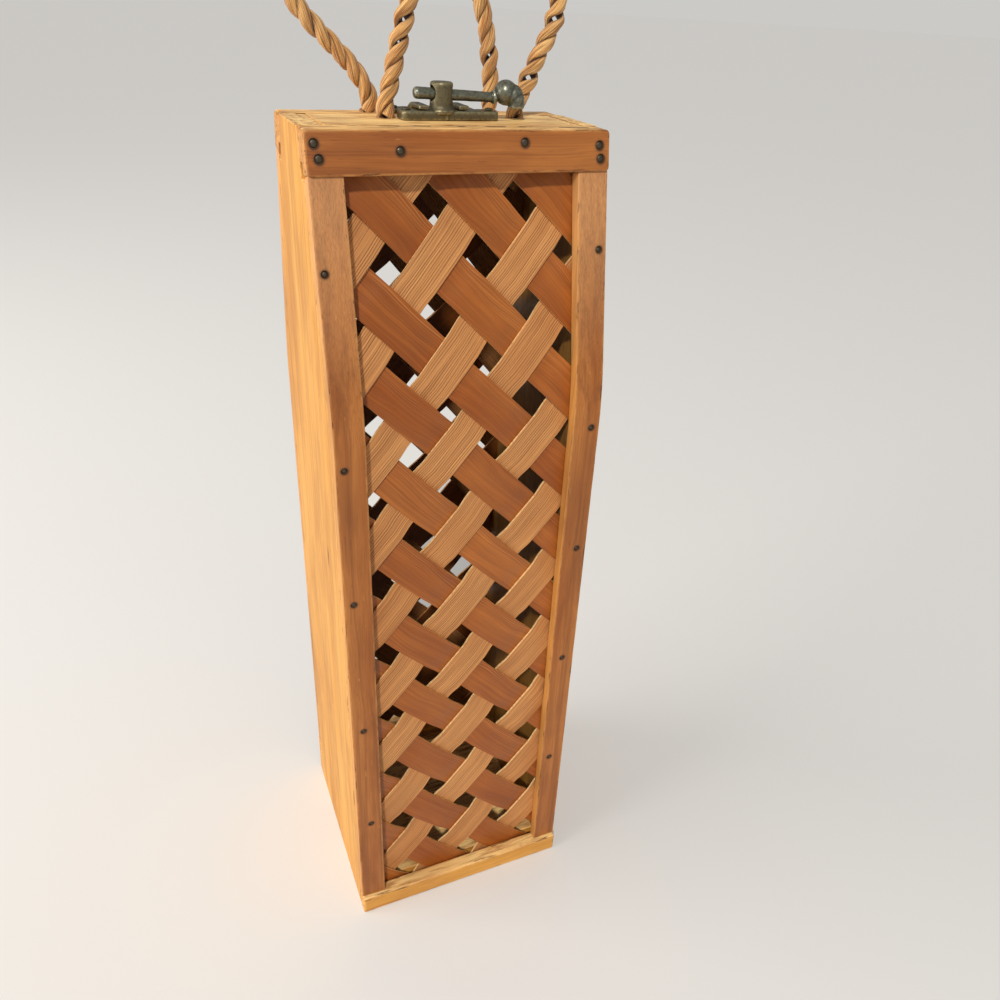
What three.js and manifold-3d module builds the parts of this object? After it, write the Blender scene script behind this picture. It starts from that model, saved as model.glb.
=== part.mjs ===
// Wine bottle carrier: a tall wooden case with a woven front, a woven rear door that is hinged at its
// foot, a slide latch on the top and two rope handles.
// Millimetres, +Z up, the front faces -Y, and the origin is the centre of the underside.
import * as THREE from 'three';
import { mergeVertices } from 'three/addons/utils/BufferGeometryUtils.js';
import Module from 'manifold-3d';

const wasm = await Module();
wasm.setup();

// Case: overall sizes over the faces of the battens
const caseHeight = 370;
const caseWidth = 109;
const footDepth = 98.8;
const shoulderDepth = 86.4;
const topDepth = 48.8;
const shoulderHeight = 275;
const shoulderRadius = 165;

// Clearances
const fitGap = 0.3;
const seatGap = 0.15;
const doorGap = 0.5;

// Boards, battens and rails
const sideThickness = 9;
const topBoardThickness = 10;
const bottomBoardThickness = 10.5;
const battenThickness = 5;
const battenWidth = 12;
const topRailHeight = 14;
const topRailThickness = 10;
const topRailProud = 1;
const footRailHeight = 10.5;
const footRailProud = 2;
const doorFootRailHeight = 16;

// Woven strips: the falling ones run down to the right, the rising ones up to the right. A family is laid
// out by how many of its strips stand side by side over the panel's width and over its height, from an
// opening near the top of each panel.
const stripThickness = 1;
const stripTuck = 6;
const stripTuckUnderTop = 4;
const falling = { width: 16, slope: -1, acrossCount: 3.155, upCount: 10.61 };
const rising = { width: 14.4, slope: 1, acrossCount: 3.273, upCount: 9.469 };
const frontOpening = { acrossRatio: -0.1073, belowTopRatio: 0.0635 };
const doorOpening = { acrossRatio: -0.2047, belowTopRatio: 0.0755 };
const shortestStrip = 16;
const stripRange = 24;
const bendCuts = 2;
const glueDepth = 0.1;

// Screws of the latch plates
const screw = { head: 1.5, crown: 0.9, shank: 0.8, dome: 0.7, rim: 0.3, length: 6, sides: 8 };

// Latch: front plate with a staple, sliding bolt with a collar, a ball and a lug, and the keeper's prongs
const latchPlate = {
  left: -15.8, right: 20.4, front: -4.6, back: 3.6, height: 3, round: 1.4, screwInset: 2.6,
};
const staple = { x: -0.35, radius: 4.1, flare: 1, flareRise: 1.5, crown: 1.2, rim: 0.9, root: 1, sides: 20 };
const bolt = { radius: 2.15, tip: -10.6, tipFlat: 1.3, tipRim: 0.3, tipLength: 1.4, height: 8.5, sides: 14 };
const boltClearance = 0.35;
const ball = { radius: 4.6, x: 25.2, steps: 7 };
const collar = { radius: 2.4, length: 1.8, chamfer: 0.3, sunk: 0.6 };
const lug = { radius: 2.9, offset: 2.7, forward: 1.8, clear: 4.5, rings: 6, sides: 12 };
const keeper = { left: -15.4, right: 19.6, thickness: 1.4, screwInset: 3.5 };
const prong = { left: -9.4, right: 5.4, width: 3.8, root: 1, tipInset: 1.2, rampRun: 2.6 };

// Rope handles
const ropeDiameter = 6.2;
const ropeHoleGap = 0.35;
const ropeSides = 10;
const ropeStep = 2 * ropeDiameter;
const knot = { top: 4.3, topDepth: 0.5, radius: 5.4, middle: 4.5, foot: 4, footDepth: 8.5, length: 10 };
const ropeTail = { flare: 0.3, length: 5 };
const frontRope = { inset: 7.4, leftGap: 0.4, leftForward: 3.6, right: 31.2, rightForward: 1.6 };
const rearRope = { inset: 3.8, left: -21.2, right: 26.6, depth: 9 };

// Hinges of the door
const hinge = { width: 24, leafHeight: 9, thickness: 0.9, knuckle: 1.75, inset: 16, tabRoot: 1, sides: 12 };
const pin = { radius: 0.85, clearance: 0.3, proud: 0.6, sides: 10 };

// How far a cutter runs past what it cuts
const overrun = 1;

const wood = { roughness: 0.62, metalness: 0 };
const metal = { roughness: 0.48, metalness: 0.85 };
const finishes = {
  side: { color: 0xd9a15a, ...wood },
  batten: { color: 0xa9683a, ...wood },
  smoothStrip: { color: 0x9c5527, ...wood },
  ridgedStrip: { color: 0xb98355, ...wood },
  rope: { color: 0xbf8d52, roughness: 0.9, metalness: 0 },
  bronze: { color: 0x5c5644, ...metal },
  brass: { color: 0x8c744a, ...metal },
};

// Geometry to solid and back, for joins and cuts
function toSolid(geometry) {
  const bare = geometry.clone();
  bare.deleteAttribute('normal');
  bare.deleteAttribute('uv');
  const merged = mergeVertices(bare, 1e-4);
  const vertProperties = new Float32Array(merged.attributes.position.array);
  const triVerts = new Uint32Array(merged.index.array);
  return new wasm.Manifold(new wasm.Mesh({ numProp: 3, vertProperties, triVerts }));
}

function toGeometry(solid) {
  const { vertProperties, triVerts } = solid.getMesh();
  const geometry = new THREE.BufferGeometry();
  geometry.setAttribute('position', new THREE.BufferAttribute(new Float32Array(vertProperties), 3));
  geometry.setIndex(new THREE.BufferAttribute(new Uint32Array(triVerts), 1));
  return geometry;
}

const join = (...parts) => toGeometry(parts.map(toSolid).reduce((all, part) => all.add(part)));
const cut = (body, cutters) =>
  toGeometry(cutters.map(toSolid).reduce((rest, tool) => rest.subtract(tool), toSolid(body)));

// The face of a panel, from the foot to the top: a lower line, an arc at the shoulder and an upper line.
// distance runs along the face, inset is measured square to it, towards the inside of the case.
const face = (() => {
  const foot = new THREE.Vector2(-footDepth / 2, 0);
  const shoulder = new THREE.Vector2(-shoulderDepth / 2, shoulderHeight);
  const top = new THREE.Vector2(-topDepth / 2, caseHeight);
  const lower = shoulder.clone().sub(foot).normalize();
  const upper = top.clone().sub(shoulder).normalize();
  const turn = lower.angle() - upper.angle();
  const tangent = shoulderRadius * Math.tan(turn / 2);
  const bendStart = shoulder.distanceTo(foot) - tangent;
  const bendEnd = bendStart + shoulderRadius * turn;
  const inward = (direction) => new THREE.Vector2(direction.y, -direction.x);
  function frame(distance) {
    if (distance <= bendStart) return { point: foot.clone().addScaledVector(lower, distance), along: lower };
    if (distance >= bendEnd) {
      const point = shoulder.clone().addScaledVector(upper, tangent + distance - bendEnd);
      return { point, along: upper };
    }
    const angle = (distance - bendStart) / shoulderRadius;
    const start = foot.clone().addScaledVector(lower, bendStart);
    const centre = start.addScaledVector(inward(lower), shoulderRadius);
    const along = lower.clone().rotateAround(new THREE.Vector2(), -angle);
    return { point: centre.addScaledVector(inward(along), -shoulderRadius), along };
  }
  function at(distance, inset) {
    const { point, along } = frame(distance);
    return point.addScaledVector(inward(along), inset);
  }
  function distanceAtHeight(height, inset) {
    const straightUp = height > shoulderHeight;
    const reference = at(straightUp ? bendEnd : 0, inset);
    const along = straightUp ? upper : lower;
    return (straightUp ? bendEnd : 0) + (height - reference.y) / along.y;
  }
  return { at, distanceAtHeight, bendStart, bendEnd, length: distanceAtHeight(caseHeight, 0) };
})();

const bendSteps = 5;
const stationGap = 0.5;
function stations(from, to) {
  const between = [];
  for (let i = 0; i <= bendSteps; i += 1) {
    const distance = THREE.MathUtils.lerp(face.bendStart, face.bendEnd, i / bendSteps);
    if (distance > from + stationGap && distance < to - stationGap) between.push(distance);
  }
  return [from, ...between, to];
}

// An edge of an outline: points from one place on the face to another, at one inset
const edge = (from, to, inset) => stations(from, to).map((distance) => face.at(distance, inset));

// A band of the panel's section between two insets
function band(from, to, outer, inner) {
  return [...edge(from, to, outer), ...edge(from, to, inner).reverse()];
}

// Extrudes an outline in the YZ plane along X
const acrossX = new THREE.Matrix4().makeBasis(
  new THREE.Vector3(0, 1, 0),
  new THREE.Vector3(0, 0, 1),
  new THREE.Vector3(1, 0, 0),
);
function slab(outline, x0, x1) {
  const settings = { depth: x1 - x0, bevelEnabled: false };
  const geometry = new THREE.ExtrudeGeometry(new THREE.Shape(outline), settings);
  return geometry.applyMatrix4(acrossX).translate(x0, 0, 0);
}

const mirrored = (outline) => outline.map((point) => new THREE.Vector2(-point.x, point.y)).reverse();

// Insets of the layers of a panel, from the batten's face inwards
const stripsOuter = battenThickness + fitGap;
const stripsInner = stripsOuter + 2 * stripThickness + fitGap;
const rebateFloor = stripsInner + fitGap;
const boardFront = battenThickness + fitGap;
const railInner = topRailThickness - topRailProud;
const boardNotch = railInner + fitGap;

// Places along the face where the frame's pieces meet
const topRailFoot = face.length - topRailHeight;
const battenTop = topRailFoot - fitGap;
const battenFoot = footRailHeight + fitGap;
const doorFoot = footRailHeight + doorGap;
const doorStileFoot = doorFoot + doorFootRailHeight + fitGap;
const stripsTop = topRailFoot + stripTuckUnderTop;
const stripsFoot = footRailHeight - stripTuck;
const doorStripsFoot = doorFoot + doorFootRailHeight - stripTuck;
const half = caseWidth / 2;
const sideInner = half - sideThickness;
const stripHalf = half - stripTuck;
const atTop = (inset) => face.at(face.distanceAtHeight(caseHeight, inset), inset);
const atFoot = (inset) => face.at(face.distanceAtHeight(0, inset), inset);

// A screw whose axis is +Z and whose head stands on the height given
function screwAt(x, y, z) {
  const { head, crown, shank, dome, rim, length, sides } = screw;
  const outline = [
    [0, -length], [shank, -length], [shank, 0], [head, 0], [head, rim], [crown, dome], [0, dome],
  ];
  const points = outline.map(([r, height]) => new THREE.Vector2(r, height));
  return new THREE.LatheGeometry(points, sides).rotateX(Math.PI / 2).translate(x, y, z + seatGap);
}

// A cutter whose mouth is at 0 and which reaches down to the depth given
function drill(radius, depth, sides) {
  const length = depth + overrun;
  return new THREE.CylinderGeometry(radius, radius, length, sides).translate(0, (overrun - depth) / 2, 0)
    .rotateX(Math.PI / 2);
}

const screwHole = (x, y, z) =>
  drill(screw.shank + fitGap, screw.length + fitGap, screw.sides).translate(x, y, z);

// Woven strips. A strip is first made flat: x across the panel, y inwards, z along its face. It steps from
// the outer layer to the inner one between crossings, is trimmed to the panel, and is then laid on the face.
const familiesFrom = (opening) => [falling, rising].map((family) => {
  const stepAcross = caseWidth / family.acrossCount;
  const stepUp = face.length / family.upCount;
  const along = new THREE.Vector2(stepAcross, family.slope * stepUp).normalize();
  const across = new THREE.Vector2(-along.y, along.x);
  const pitch = stepUp * along.x;
  const anchor = new THREE.Vector2(
    opening.acrossRatio * caseWidth,
    (1 - opening.belowTopRatio) * face.length,
  );
  return { ...family, along, across, pitch, start: anchor.dot(across) + pitch / 2 };
});

function crossing(family, index, other, otherIndex) {
  const line = family.start + index * family.pitch;
  const otherLine = other.start + otherIndex * other.pitch;
  const spread = family.along.dot(other.across);
  return (otherLine - line * family.across.dot(other.across)) / spread;
}

function flatStrip(family, index, other, isRising, layerGap) {
  const spread = Math.abs(family.along.dot(other.across));
  const skew = Math.abs(family.across.dot(other.across)) / spread;
  const flatHalf = (other.width / spread + family.width * skew) / 2 + fitGap;
  const base = family.across.clone().multiplyScalar(family.start + index * family.pitch);
  const margin = 2 * family.pitch;
  const steps = [];
  for (let otherIndex = -stripRange; otherIndex <= stripRange; otherIndex += 1) {
    const t = crossing(family, index, other, otherIndex);
    const height = base.y + family.along.y * t;
    if (height < -margin || height > face.length + margin) continue;
    const risingOver = (index + otherIndex) % 2 === 0;
    const inner = risingOver !== isRising;
    steps.push({ t: t - flatHalf, inner }, { t: t + flatHalf, inner });
  }
  if (steps.length < 4) return null;
  steps.sort((a, b) => a.t - b.t);
  const layer = stripThickness + layerGap;
  const rings = [];
  steps.forEach(({ t, inner }, i) => {
    const low = stripsOuter + (inner ? layer : 0);
    rings.push([t, low]);
    const next = steps[i + 1];
    const middle = next && base.y + family.along.y * (t + next.t) / 2;
    const nearBend = middle > face.bendStart - family.width && middle < face.bendEnd + family.width;
    if (nearBend && next.inner === inner) {
      for (let k = 1; k < bendCuts; k += 1) rings.push([THREE.MathUtils.lerp(t, next.t, k / bendCuts), low]);
    }
  });
  const columns = rings.length > steps.length ? bendCuts : 1;
  const positions = [];
  rings.forEach(([t, low]) => {
    const ring = [];
    for (let c = 0; c <= columns; c += 1) ring.push([c / columns - 0.5, low]);
    for (let c = columns; c >= 0; c -= 1) ring.push([c / columns - 0.5, low + stripThickness]);
    ring.forEach(([side, depth]) => {
      const middle = base.clone().addScaledVector(family.along, t);
      const spot = middle.addScaledVector(family.across, side * family.width);
      positions.push(spot.x, depth, spot.y);
    });
  });
  const sides = 2 * columns + 2;
  const triangles = [];
  for (let r = 0; r + 1 < rings.length; r += 1) {
    for (let s = 0; s < sides; s += 1) {
      const a = r * sides + s;
      const b = r * sides + (s + 1) % sides;
      triangles.push(a, a + sides, b, b, a + sides, b + sides);
    }
  }
  for (let s = 1; s + 1 < sides; s += 1) {
    const last = (rings.length - 1) * sides;
    triangles.push(0, s, s + 1, last, last + s + 1, last + s);
  }
  const geometry = new THREE.BufferGeometry();
  geometry.setAttribute('position', new THREE.Float32BufferAttribute(positions, 3));
  geometry.setIndex(triangles);
  return geometry;
}

function layOnFace(geometry) {
  const spots = geometry.attributes.position;
  for (let i = 0; i < spots.count; i += 1) {
    const place = face.at(spots.getZ(i), spots.getY(i));
    spots.setXYZ(i, spots.getX(i), place.x, place.y);
  }
  return geometry;
}

// The strips of one family that cross a panel, from its foot to its top, in order up the panel
function wovenFamily(family, other, isRising, foot, top, layerGap) {
  const trim = new THREE.BoxGeometry(2 * stripHalf, caseWidth, top - foot).translate(0, 0, (foot + top) / 2);
  const strips = [];
  for (let index = -stripRange; index <= stripRange; index += 1) {
    const middleHeight = (family.start + index * family.pitch) / family.across.y;
    const climb = Math.abs(family.along.y / family.along.x) * stripHalf;
    const low = Math.max(middleHeight - climb, foot);
    const high = Math.min(middleHeight + climb, top);
    if ((high - low) / Math.abs(family.along.y) < shortestStrip) continue;
    const flat = flatStrip(family, index, other, isRising, layerGap);
    strips.push(layOnFace(toGeometry(toSolid(flat).intersect(toSolid(trim)))));
  }
  return strips;
}

function wovenPanel(opening, foot, layerGap) {
  const [fallingFamily, risingFamily] = familiesFrom(opening);
  return {
    falling: wovenFamily(fallingFamily, risingFamily, false, foot, stripsTop, layerGap),
    rising: wovenFamily(risingFamily, fallingFamily, true, foot, stripsTop, layerGap),
  };
}

// Boards of the case. A side board's edge is rebated on its inner side for the ends of the strips.
function sideBoard(side) {
  const span = (from, to) => (side > 0 ? [from, to] : [-to, -from]);
  const notchFoot = topRailFoot - fitGap;
  const notchAtTop = face.distanceAtHeight(caseHeight, boardNotch);
  const footAt = (inset) => face.distanceAtHeight(0, inset);
  const outer = [
    ...edge(footAt(boardFront), notchFoot, boardFront),
    face.at(notchFoot, boardNotch),
    face.at(notchAtTop, boardNotch),
  ];
  const rebateTop = face.distanceAtHeight(caseHeight, rebateFloor);
  const inner = [
    ...edge(footAt(rebateFloor), notchFoot, rebateFloor),
    face.at(notchFoot, boardNotch),
    face.at(Math.min(notchAtTop, rebateTop), boardNotch),
  ];
  const whole = (outline) => [...outline, ...mirrored(outline)];
  const step = stripHalf + fitGap;
  return join(slab(whole(outer), ...span(step, half)), slab(whole(inner), ...span(sideInner, step)));
}

function bottomBoard() {
  const slotTop = stripsFoot - fitGap;
  const width = sideInner;
  const front = [
    atFoot(boardFront),
    face.at(slotTop, boardFront),
    face.at(slotTop, rebateFloor),
    face.at(face.distanceAtHeight(bottomBoardThickness, rebateFloor), rebateFloor),
  ];
  const rear = mirrored([
    atFoot(boardFront),
    face.at(face.distanceAtHeight(bottomBoardThickness, boardFront), boardFront),
  ]);
  return slab([...front, ...rear], -width, width);
}

function topBoard() {
  const under = caseHeight - topBoardThickness;
  const front = [face.at(face.distanceAtHeight(under, boardNotch), boardNotch), atTop(boardNotch)];
  const rearInset = boardNotch + doorGap - fitGap;
  const rear = mirrored([face.at(face.distanceAtHeight(under, rearInset), rearInset), atTop(rearInset)]);
  return slab([...front, ...rear], -sideInner, sideInner);
}

// Rails and battens of a panel
function topRail() {
  const outer = [face.at(topRailFoot, -topRailProud), atTop(-topRailProud)];
  const rebateTop = stripsTop + fitGap;
  const inner = [
    atTop(railInner),
    face.at(rebateTop, railInner),
    face.at(rebateTop, battenThickness),
    face.at(topRailFoot, battenThickness),
  ];
  return slab([...outer, ...inner], -half, half);
}

function footRail() {
  const bottom = [atFoot(-footRailProud), atFoot(battenThickness)];
  const top = [face.at(footRailHeight, battenThickness), face.at(footRailHeight, -footRailProud)];
  return slab([...bottom, ...top].reverse(), -half, half);
}

const doorFootRail = () =>
  slab(band(doorFoot, doorFoot + doorFootRailHeight, -footRailProud, battenThickness), -half, half);

const batten = (side, foot) => {
  const x0 = side < 0 ? -half : half - battenWidth;
  return slab(band(foot, battenTop, 0, battenThickness), x0, x0 + battenWidth);
};

// Latch: front plate with its staple, sliding bolt, and keeper plate with two prongs under the bolt
const latchFloor = caseHeight + seatGap;
const latchPlateTop = latchFloor + latchPlate.height;
const latchPlateMiddle = (latchPlate.front + latchPlate.back) / 2;
const boltCentre = new THREE.Vector2(latchPlateMiddle, caseHeight + bolt.height);
const boltBore = bolt.radius + boltClearance;
const latchScrewX = [latchPlate.left + latchPlate.screwInset, latchPlate.right - latchPlate.screwInset];
const keeperScrewX = [keeper.left + keeper.screwInset, keeper.right - keeper.screwInset];

function roundedBar(y0, y1, z0, z1, round) {
  const shape = new THREE.Shape();
  shape.moveTo(y0, z0);
  shape.lineTo(y1, z0);
  shape.lineTo(y1, z1 - round);
  shape.absarc(y1 - round, z1 - round, round, 0, Math.PI / 2, false);
  shape.lineTo(y0 + round, z1);
  shape.absarc(y0 + round, z1 - round, round, Math.PI / 2, Math.PI, false);
  shape.closePath();
  return shape;
}

function extrudeX(shape, x0, x1, curveSegments) {
  const settings = { depth: x1 - x0, bevelEnabled: false, curveSegments };
  return new THREE.ExtrudeGeometry(shape, settings).applyMatrix4(acrossX).translate(x0, 0, 0);
}

// The staple: an upright barrel with a rounded top, flared at its foot, no deeper than the plate
function stapleBarrel() {
  const { radius, flare, flareRise, crown, rim, root, sides } = staple;
  const top = boltCentre.y + boltBore + crown;
  const outline = [
    [0, latchPlateTop - root], [radius + flare, latchPlateTop - root], [radius + flare, latchPlateTop],
    [radius, latchPlateTop + flareRise], [radius, top - rim], [radius - rim / 3, top - rim / 3],
    [radius - rim, top], [0, top],
  ];
  const points = outline.map(([r, z]) => new THREE.Vector2(r, z));
  const barrel = new THREE.LatheGeometry(points, sides).rotateX(Math.PI / 2)
    .translate(staple.x, boltCentre.x, 0);
  const depth = latchPlate.back - latchPlate.front;
  const footprint = new THREE.BoxGeometry(4 * radius, depth, 2 * top)
    .translate(staple.x, latchPlateMiddle, top);
  return toGeometry(toSolid(barrel).intersect(toSolid(footprint)));
}

function latchFrontPlate() {
  const base = roundedBar(latchPlate.front, latchPlate.back, latchFloor, latchPlateTop, latchPlate.round);
  const body = join(extrudeX(base, latchPlate.left, latchPlate.right, 3), stapleBarrel());
  const width = 2 * (staple.radius + staple.flare + overrun);
  const eye = new THREE.CylinderGeometry(boltBore, boltBore, width, bolt.sides).rotateZ(Math.PI / 2)
    .translate(staple.x, boltCentre.x, boltCentre.y);
  const holes = latchScrewX.map((x) => screwHole(x, latchPlateMiddle, latchPlateTop));
  return cut(body, [eye, ...holes]);
}

function latchBolt() {
  const collarEnd = ball.x - ball.radius + collar.sunk;
  const collarStart = collarEnd - collar.length;
  const outline = [
    [0, bolt.tip], [bolt.tipFlat, bolt.tip + bolt.tipRim], [bolt.radius, bolt.tip + bolt.tipLength],
    [bolt.radius, collarStart - collar.chamfer], [collar.radius, collarStart],
    [collar.radius, collarEnd - collar.chamfer],
  ];
  const from = Math.asin((collar.radius - collar.chamfer) / ball.radius);
  for (let i = 0; i <= ball.steps; i += 1) {
    const angle = THREE.MathUtils.lerp(from, Math.PI, i / ball.steps);
    const radius = i === ball.steps ? 0 : ball.radius * Math.sin(angle);
    outline.push([radius, ball.x - ball.radius * Math.cos(angle)]);
  }
  const points = outline.map(([r, x]) => new THREE.Vector2(r, x));
  const body = new THREE.LatheGeometry(points, bolt.sides).rotateZ(-Math.PI / 2);
  const drop = bolt.height - lug.clear;
  const finger = new THREE.CylinderGeometry(lug.radius, lug.radius, drop, lug.sides).rotateX(Math.PI / 2)
    .translate(ball.x + lug.offset, -lug.forward, -drop / 2);
  const shoulder = new THREE.SphereGeometry(lug.radius, lug.sides, lug.rings).rotateX(Math.PI / 2)
    .translate(ball.x + lug.offset, -lug.forward, 0);
  return join(body, finger, shoulder).translate(0, boltCentre.x, boltCentre.y);
}

const keeperBack = -atTop(0).x - seatGap;
const keeperFront = -atTop(railInner).x + seatGap;
const keeperMiddle = (keeperFront + keeperBack) / 2;
const keeperTop = latchFloor + keeper.thickness;

function keeperPlate() {
  const t = keeper.thickness;
  const underBolt = latchPlateTop + fitGap;
  const tip = latchPlate.front + prong.tipInset;
  const rampEnd = latchPlate.back + prong.rampRun;
  const plateOutline = [
    [keeperFront, latchFloor], [keeperBack, latchFloor], [keeperBack, keeperTop], [keeperFront, keeperTop],
  ];
  const prongOutline = [
    [keeperFront + prong.root, latchFloor], [keeperFront + prong.root, keeperTop],
    [keeperFront - t, keeperTop],
    [rampEnd + t, underBolt + t], [tip, underBolt + t], [tip, underBolt], [rampEnd, underBolt],
    [keeperFront - 2 * t, latchFloor],
  ];
  const outlineOf = (points) => points.map(([y, z]) => new THREE.Vector2(y, z));
  const plate = slab(outlineOf(plateOutline), keeper.left, keeper.right);
  const prongs = [prong.left, prong.right].map((x) => slab(outlineOf(prongOutline), x, x + prong.width));
  const holes = keeperScrewX.map((x) => screwHole(x, keeperMiddle, keeperTop));
  return cut(join(plate, ...prongs), holes);
}

// Rope handles: each loop's route as points [x, z, how far forward of the handle's rearmost plane]
const frontRopeLeft = latchPlate.left - frontRope.leftGap - ropeDiameter / 2;
const frontRopeRoute = [
  [frontRopeLeft, 0, frontRope.leftForward], [frontRopeLeft, 4.5, frontRope.leftForward],
  [-17.3, 11, 3.4], [-14.9, 20, 3], [-11.9, 30, 2.4], [-8.4, 40, 1.7], [-2.6, 50.5, 1], [6, 59.5, 0.4],
  [17, 65, 0], [29, 65, 0], [39, 59, 0], [45, 50, 0], [46.6, 40, 0], [45.4, 31, 0], [41.8, 23.5, 0],
  [38.2, 16.5, 0], [35.6, 10, 0], [32.6, 5, 0.5],
  [frontRope.right, 1.6, frontRope.rightForward - 0.1], [frontRope.right, 0, frontRope.rightForward],
];
const rearRopeRoute = [
  [rearRope.left, 0, 0], [rearRope.left, 5.5, 0], [-25.6, 13, 0], [-34, 21.5, 0], [-42.5, 29.5, 0],
  [-49, 38.5, 0], [-51.5, 48.5, 0], [-49, 58.5, 0], [-41, 65.5, 0], [-30, 68, 0], [-17, 66.5, 0],
  [-3, 61, 0], [9, 53.5, 0], [17.5, 44.5, 0], [22.5, 34, 0], [25.2, 23, 0], [26.5, 12, 0],
  [rearRope.right, 5.5, 0], [rearRope.right, 0, 0],
];

const frontRopeY = -atTop(railInner).x - frontRope.inset;
const rearRopeY = -atTop(0).x - rearRope.inset;

function ropeLoop(route, y) {
  const base = caseHeight + fitGap;
  const points = route.map(([x, z, forward]) => new THREE.Vector3(x, y - forward, base + z));
  const path = new THREE.CatmullRomCurve3(points);
  const section = new THREE.Shape();
  section.absarc(0, 0, ropeDiameter / 2, 0, 2 * Math.PI, false);
  const steps = Math.round(path.getLength() / ropeStep);
  const settings = { steps, curveSegments: ropeSides / 2, extrudePath: path, bevelEnabled: false };
  return new THREE.ExtrudeGeometry(section, settings);
}

// A rope's end in its hole, z = 0 at the mouth: a plain end in a blind hole, or one with a knot under
// the board
function ropeEnd(depth, knotted) {
  const r = ropeDiameter / 2;
  const under = -depth - fitGap;
  const knotFoot = under - knot.length;
  const tip = knotFoot - ropeTail.length;
  const plain = [[0, 0], [r, 0], [r, -depth], [0, -depth]];
  const knotOutline = [
    [0, 0], [r, 0], [r, under], [knot.top, under - knot.topDepth], [knot.radius, under - knot.middle],
    [knot.foot, under - knot.footDepth], [r, knotFoot], [r + ropeTail.flare, tip], [0, tip],
  ];
  const outline = (knotted ? knotOutline : plain).reverse().map(([x, y]) => new THREE.Vector2(x, y));
  return new THREE.LatheGeometry(outline, ropeSides).rotateX(Math.PI / 2);
}

const ropeHole = (depth) => drill(ropeDiameter / 2 + ropeHoleGap, depth, ropeSides);

const frontRopeSpots = [
  [frontRopeLeft, frontRopeY - frontRope.leftForward],
  [frontRope.right, frontRopeY - frontRope.rightForward],
];
const rearRopeSpots = [[rearRope.left, rearRopeY], [rearRope.right, rearRopeY]];
const inHole = (geometry, [x, y]) => geometry.translate(x, y, caseHeight);

// Hinge, in the panel's frame: the pin lies level with the gap under the door
const hingeY = face.at(footRailHeight, -footRailProud - seatGap).x - hinge.knuckle;
const hingeZ = footRailHeight + doorGap / 2;
const knuckleLength = (hinge.width - 4 * fitGap) / 3;

function hingeLeaf(isUpper, middleX) {
  const way = isUpper ? 1 : -1;
  const clear = hinge.knuckle + fitGap;
  const near = hingeZ + way * clear;
  const far = near + way * (hinge.leafHeight - clear);
  const inset = -footRailProud - seatGap;
  const plateBand = band(Math.min(near, far), Math.max(near, far), inset - hinge.thickness, inset);
  const x0 = middleX - hinge.width / 2;
  const plate = slab(plateBand, x0, x0 + hinge.width);
  const slots = isUpper ? [1] : [0, 2];
  const tabFrom = hingeZ + way * fitGap;
  const tabTo = near + way * hinge.tabRoot;
  const tabBand = band(Math.min(tabFrom, tabTo), Math.max(tabFrom, tabTo), inset - hinge.thickness, inset);
  const pieces = slots.flatMap((slot) => {
    const start = x0 + fitGap + slot * (knuckleLength + fitGap);
    const tube = new THREE.CylinderGeometry(hinge.knuckle, hinge.knuckle, knuckleLength, hinge.sides)
      .rotateZ(Math.PI / 2).translate(start + knuckleLength / 2, hingeY, hingeZ);
    return [slab(tabBand, start, start + knuckleLength), tube];
  });
  const bore = pin.radius + pin.clearance;
  const axis = new THREE.CylinderGeometry(bore, bore, hinge.width + 2 * overrun, pin.sides)
    .rotateZ(Math.PI / 2).translate(middleX, hingeY, hingeZ);
  return cut(join(plate, ...pieces), [axis]);
}

const hingePin = (middleX) =>
  new THREE.CylinderGeometry(pin.radius, pin.radius, hinge.width + 2 * pin.proud, pin.sides)
    .rotateZ(Math.PI / 2).translate(middleX, hingeY, hingeZ);

const hingeX = [-1, 1].map((side) => side * (half - hinge.inset - hinge.width / 2));

// Assembly
const carrier = new THREE.Group();
const frontPanel = new THREE.Group();
const rearFixed = new THREE.Group();
const doorPanel = new THREE.Group();
const doorHardware = new THREE.Group();
rearFixed.rotation.z = Math.PI;
doorPanel.rotation.z = Math.PI;
carrier.add(frontPanel, rearFixed, doorPanel, doorHardware);

function add(parent, name, geometry, finish) {
  const mesh = new THREE.Mesh(geometry, new THREE.MeshStandardMaterial(finishes[finish]));
  mesh.name = name;
  parent.add(mesh);
  return mesh;
}

const turned = (geometries) => geometries.map((geometry) => geometry.rotateZ(Math.PI));

// Case: side boards, bottom board and top board
add(carrier, 'left_side_board', sideBoard(-1), 'side');
add(carrier, 'right_side_board', sideBoard(1), 'side');
add(carrier, 'bottom_board', bottomBoard(), 'side');
add(carrier, 'top_board', cut(topBoard(), [
  ...frontRopeSpots.map((spot) => inHole(ropeHole(topBoardThickness + fitGap), spot)),
  ...latchScrewX.map((x) => screwHole(x, latchPlateMiddle, latchPlateTop)),
]), 'side');

// Front panel: frame and woven strips, counted from the foot
add(frontPanel, 'front_top_rail', topRail(), 'batten');
add(frontPanel, 'front_foot_rail', footRail(), 'side');
add(frontPanel, 'front_left_batten', batten(-1, battenFoot), 'batten');
add(frontPanel, 'front_right_batten', batten(1, battenFoot), 'batten');
const frontWeave = wovenPanel(frontOpening, stripsFoot, fitGap);
frontWeave.falling.forEach((strip, i) =>
  add(frontPanel, `front_falling_strip_${i + 1}`, strip, 'smoothStrip'));
frontWeave.rising.forEach((strip, i) =>
  add(frontPanel, `front_rising_strip_${i + 1}`, strip, 'ridgedStrip'));

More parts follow.
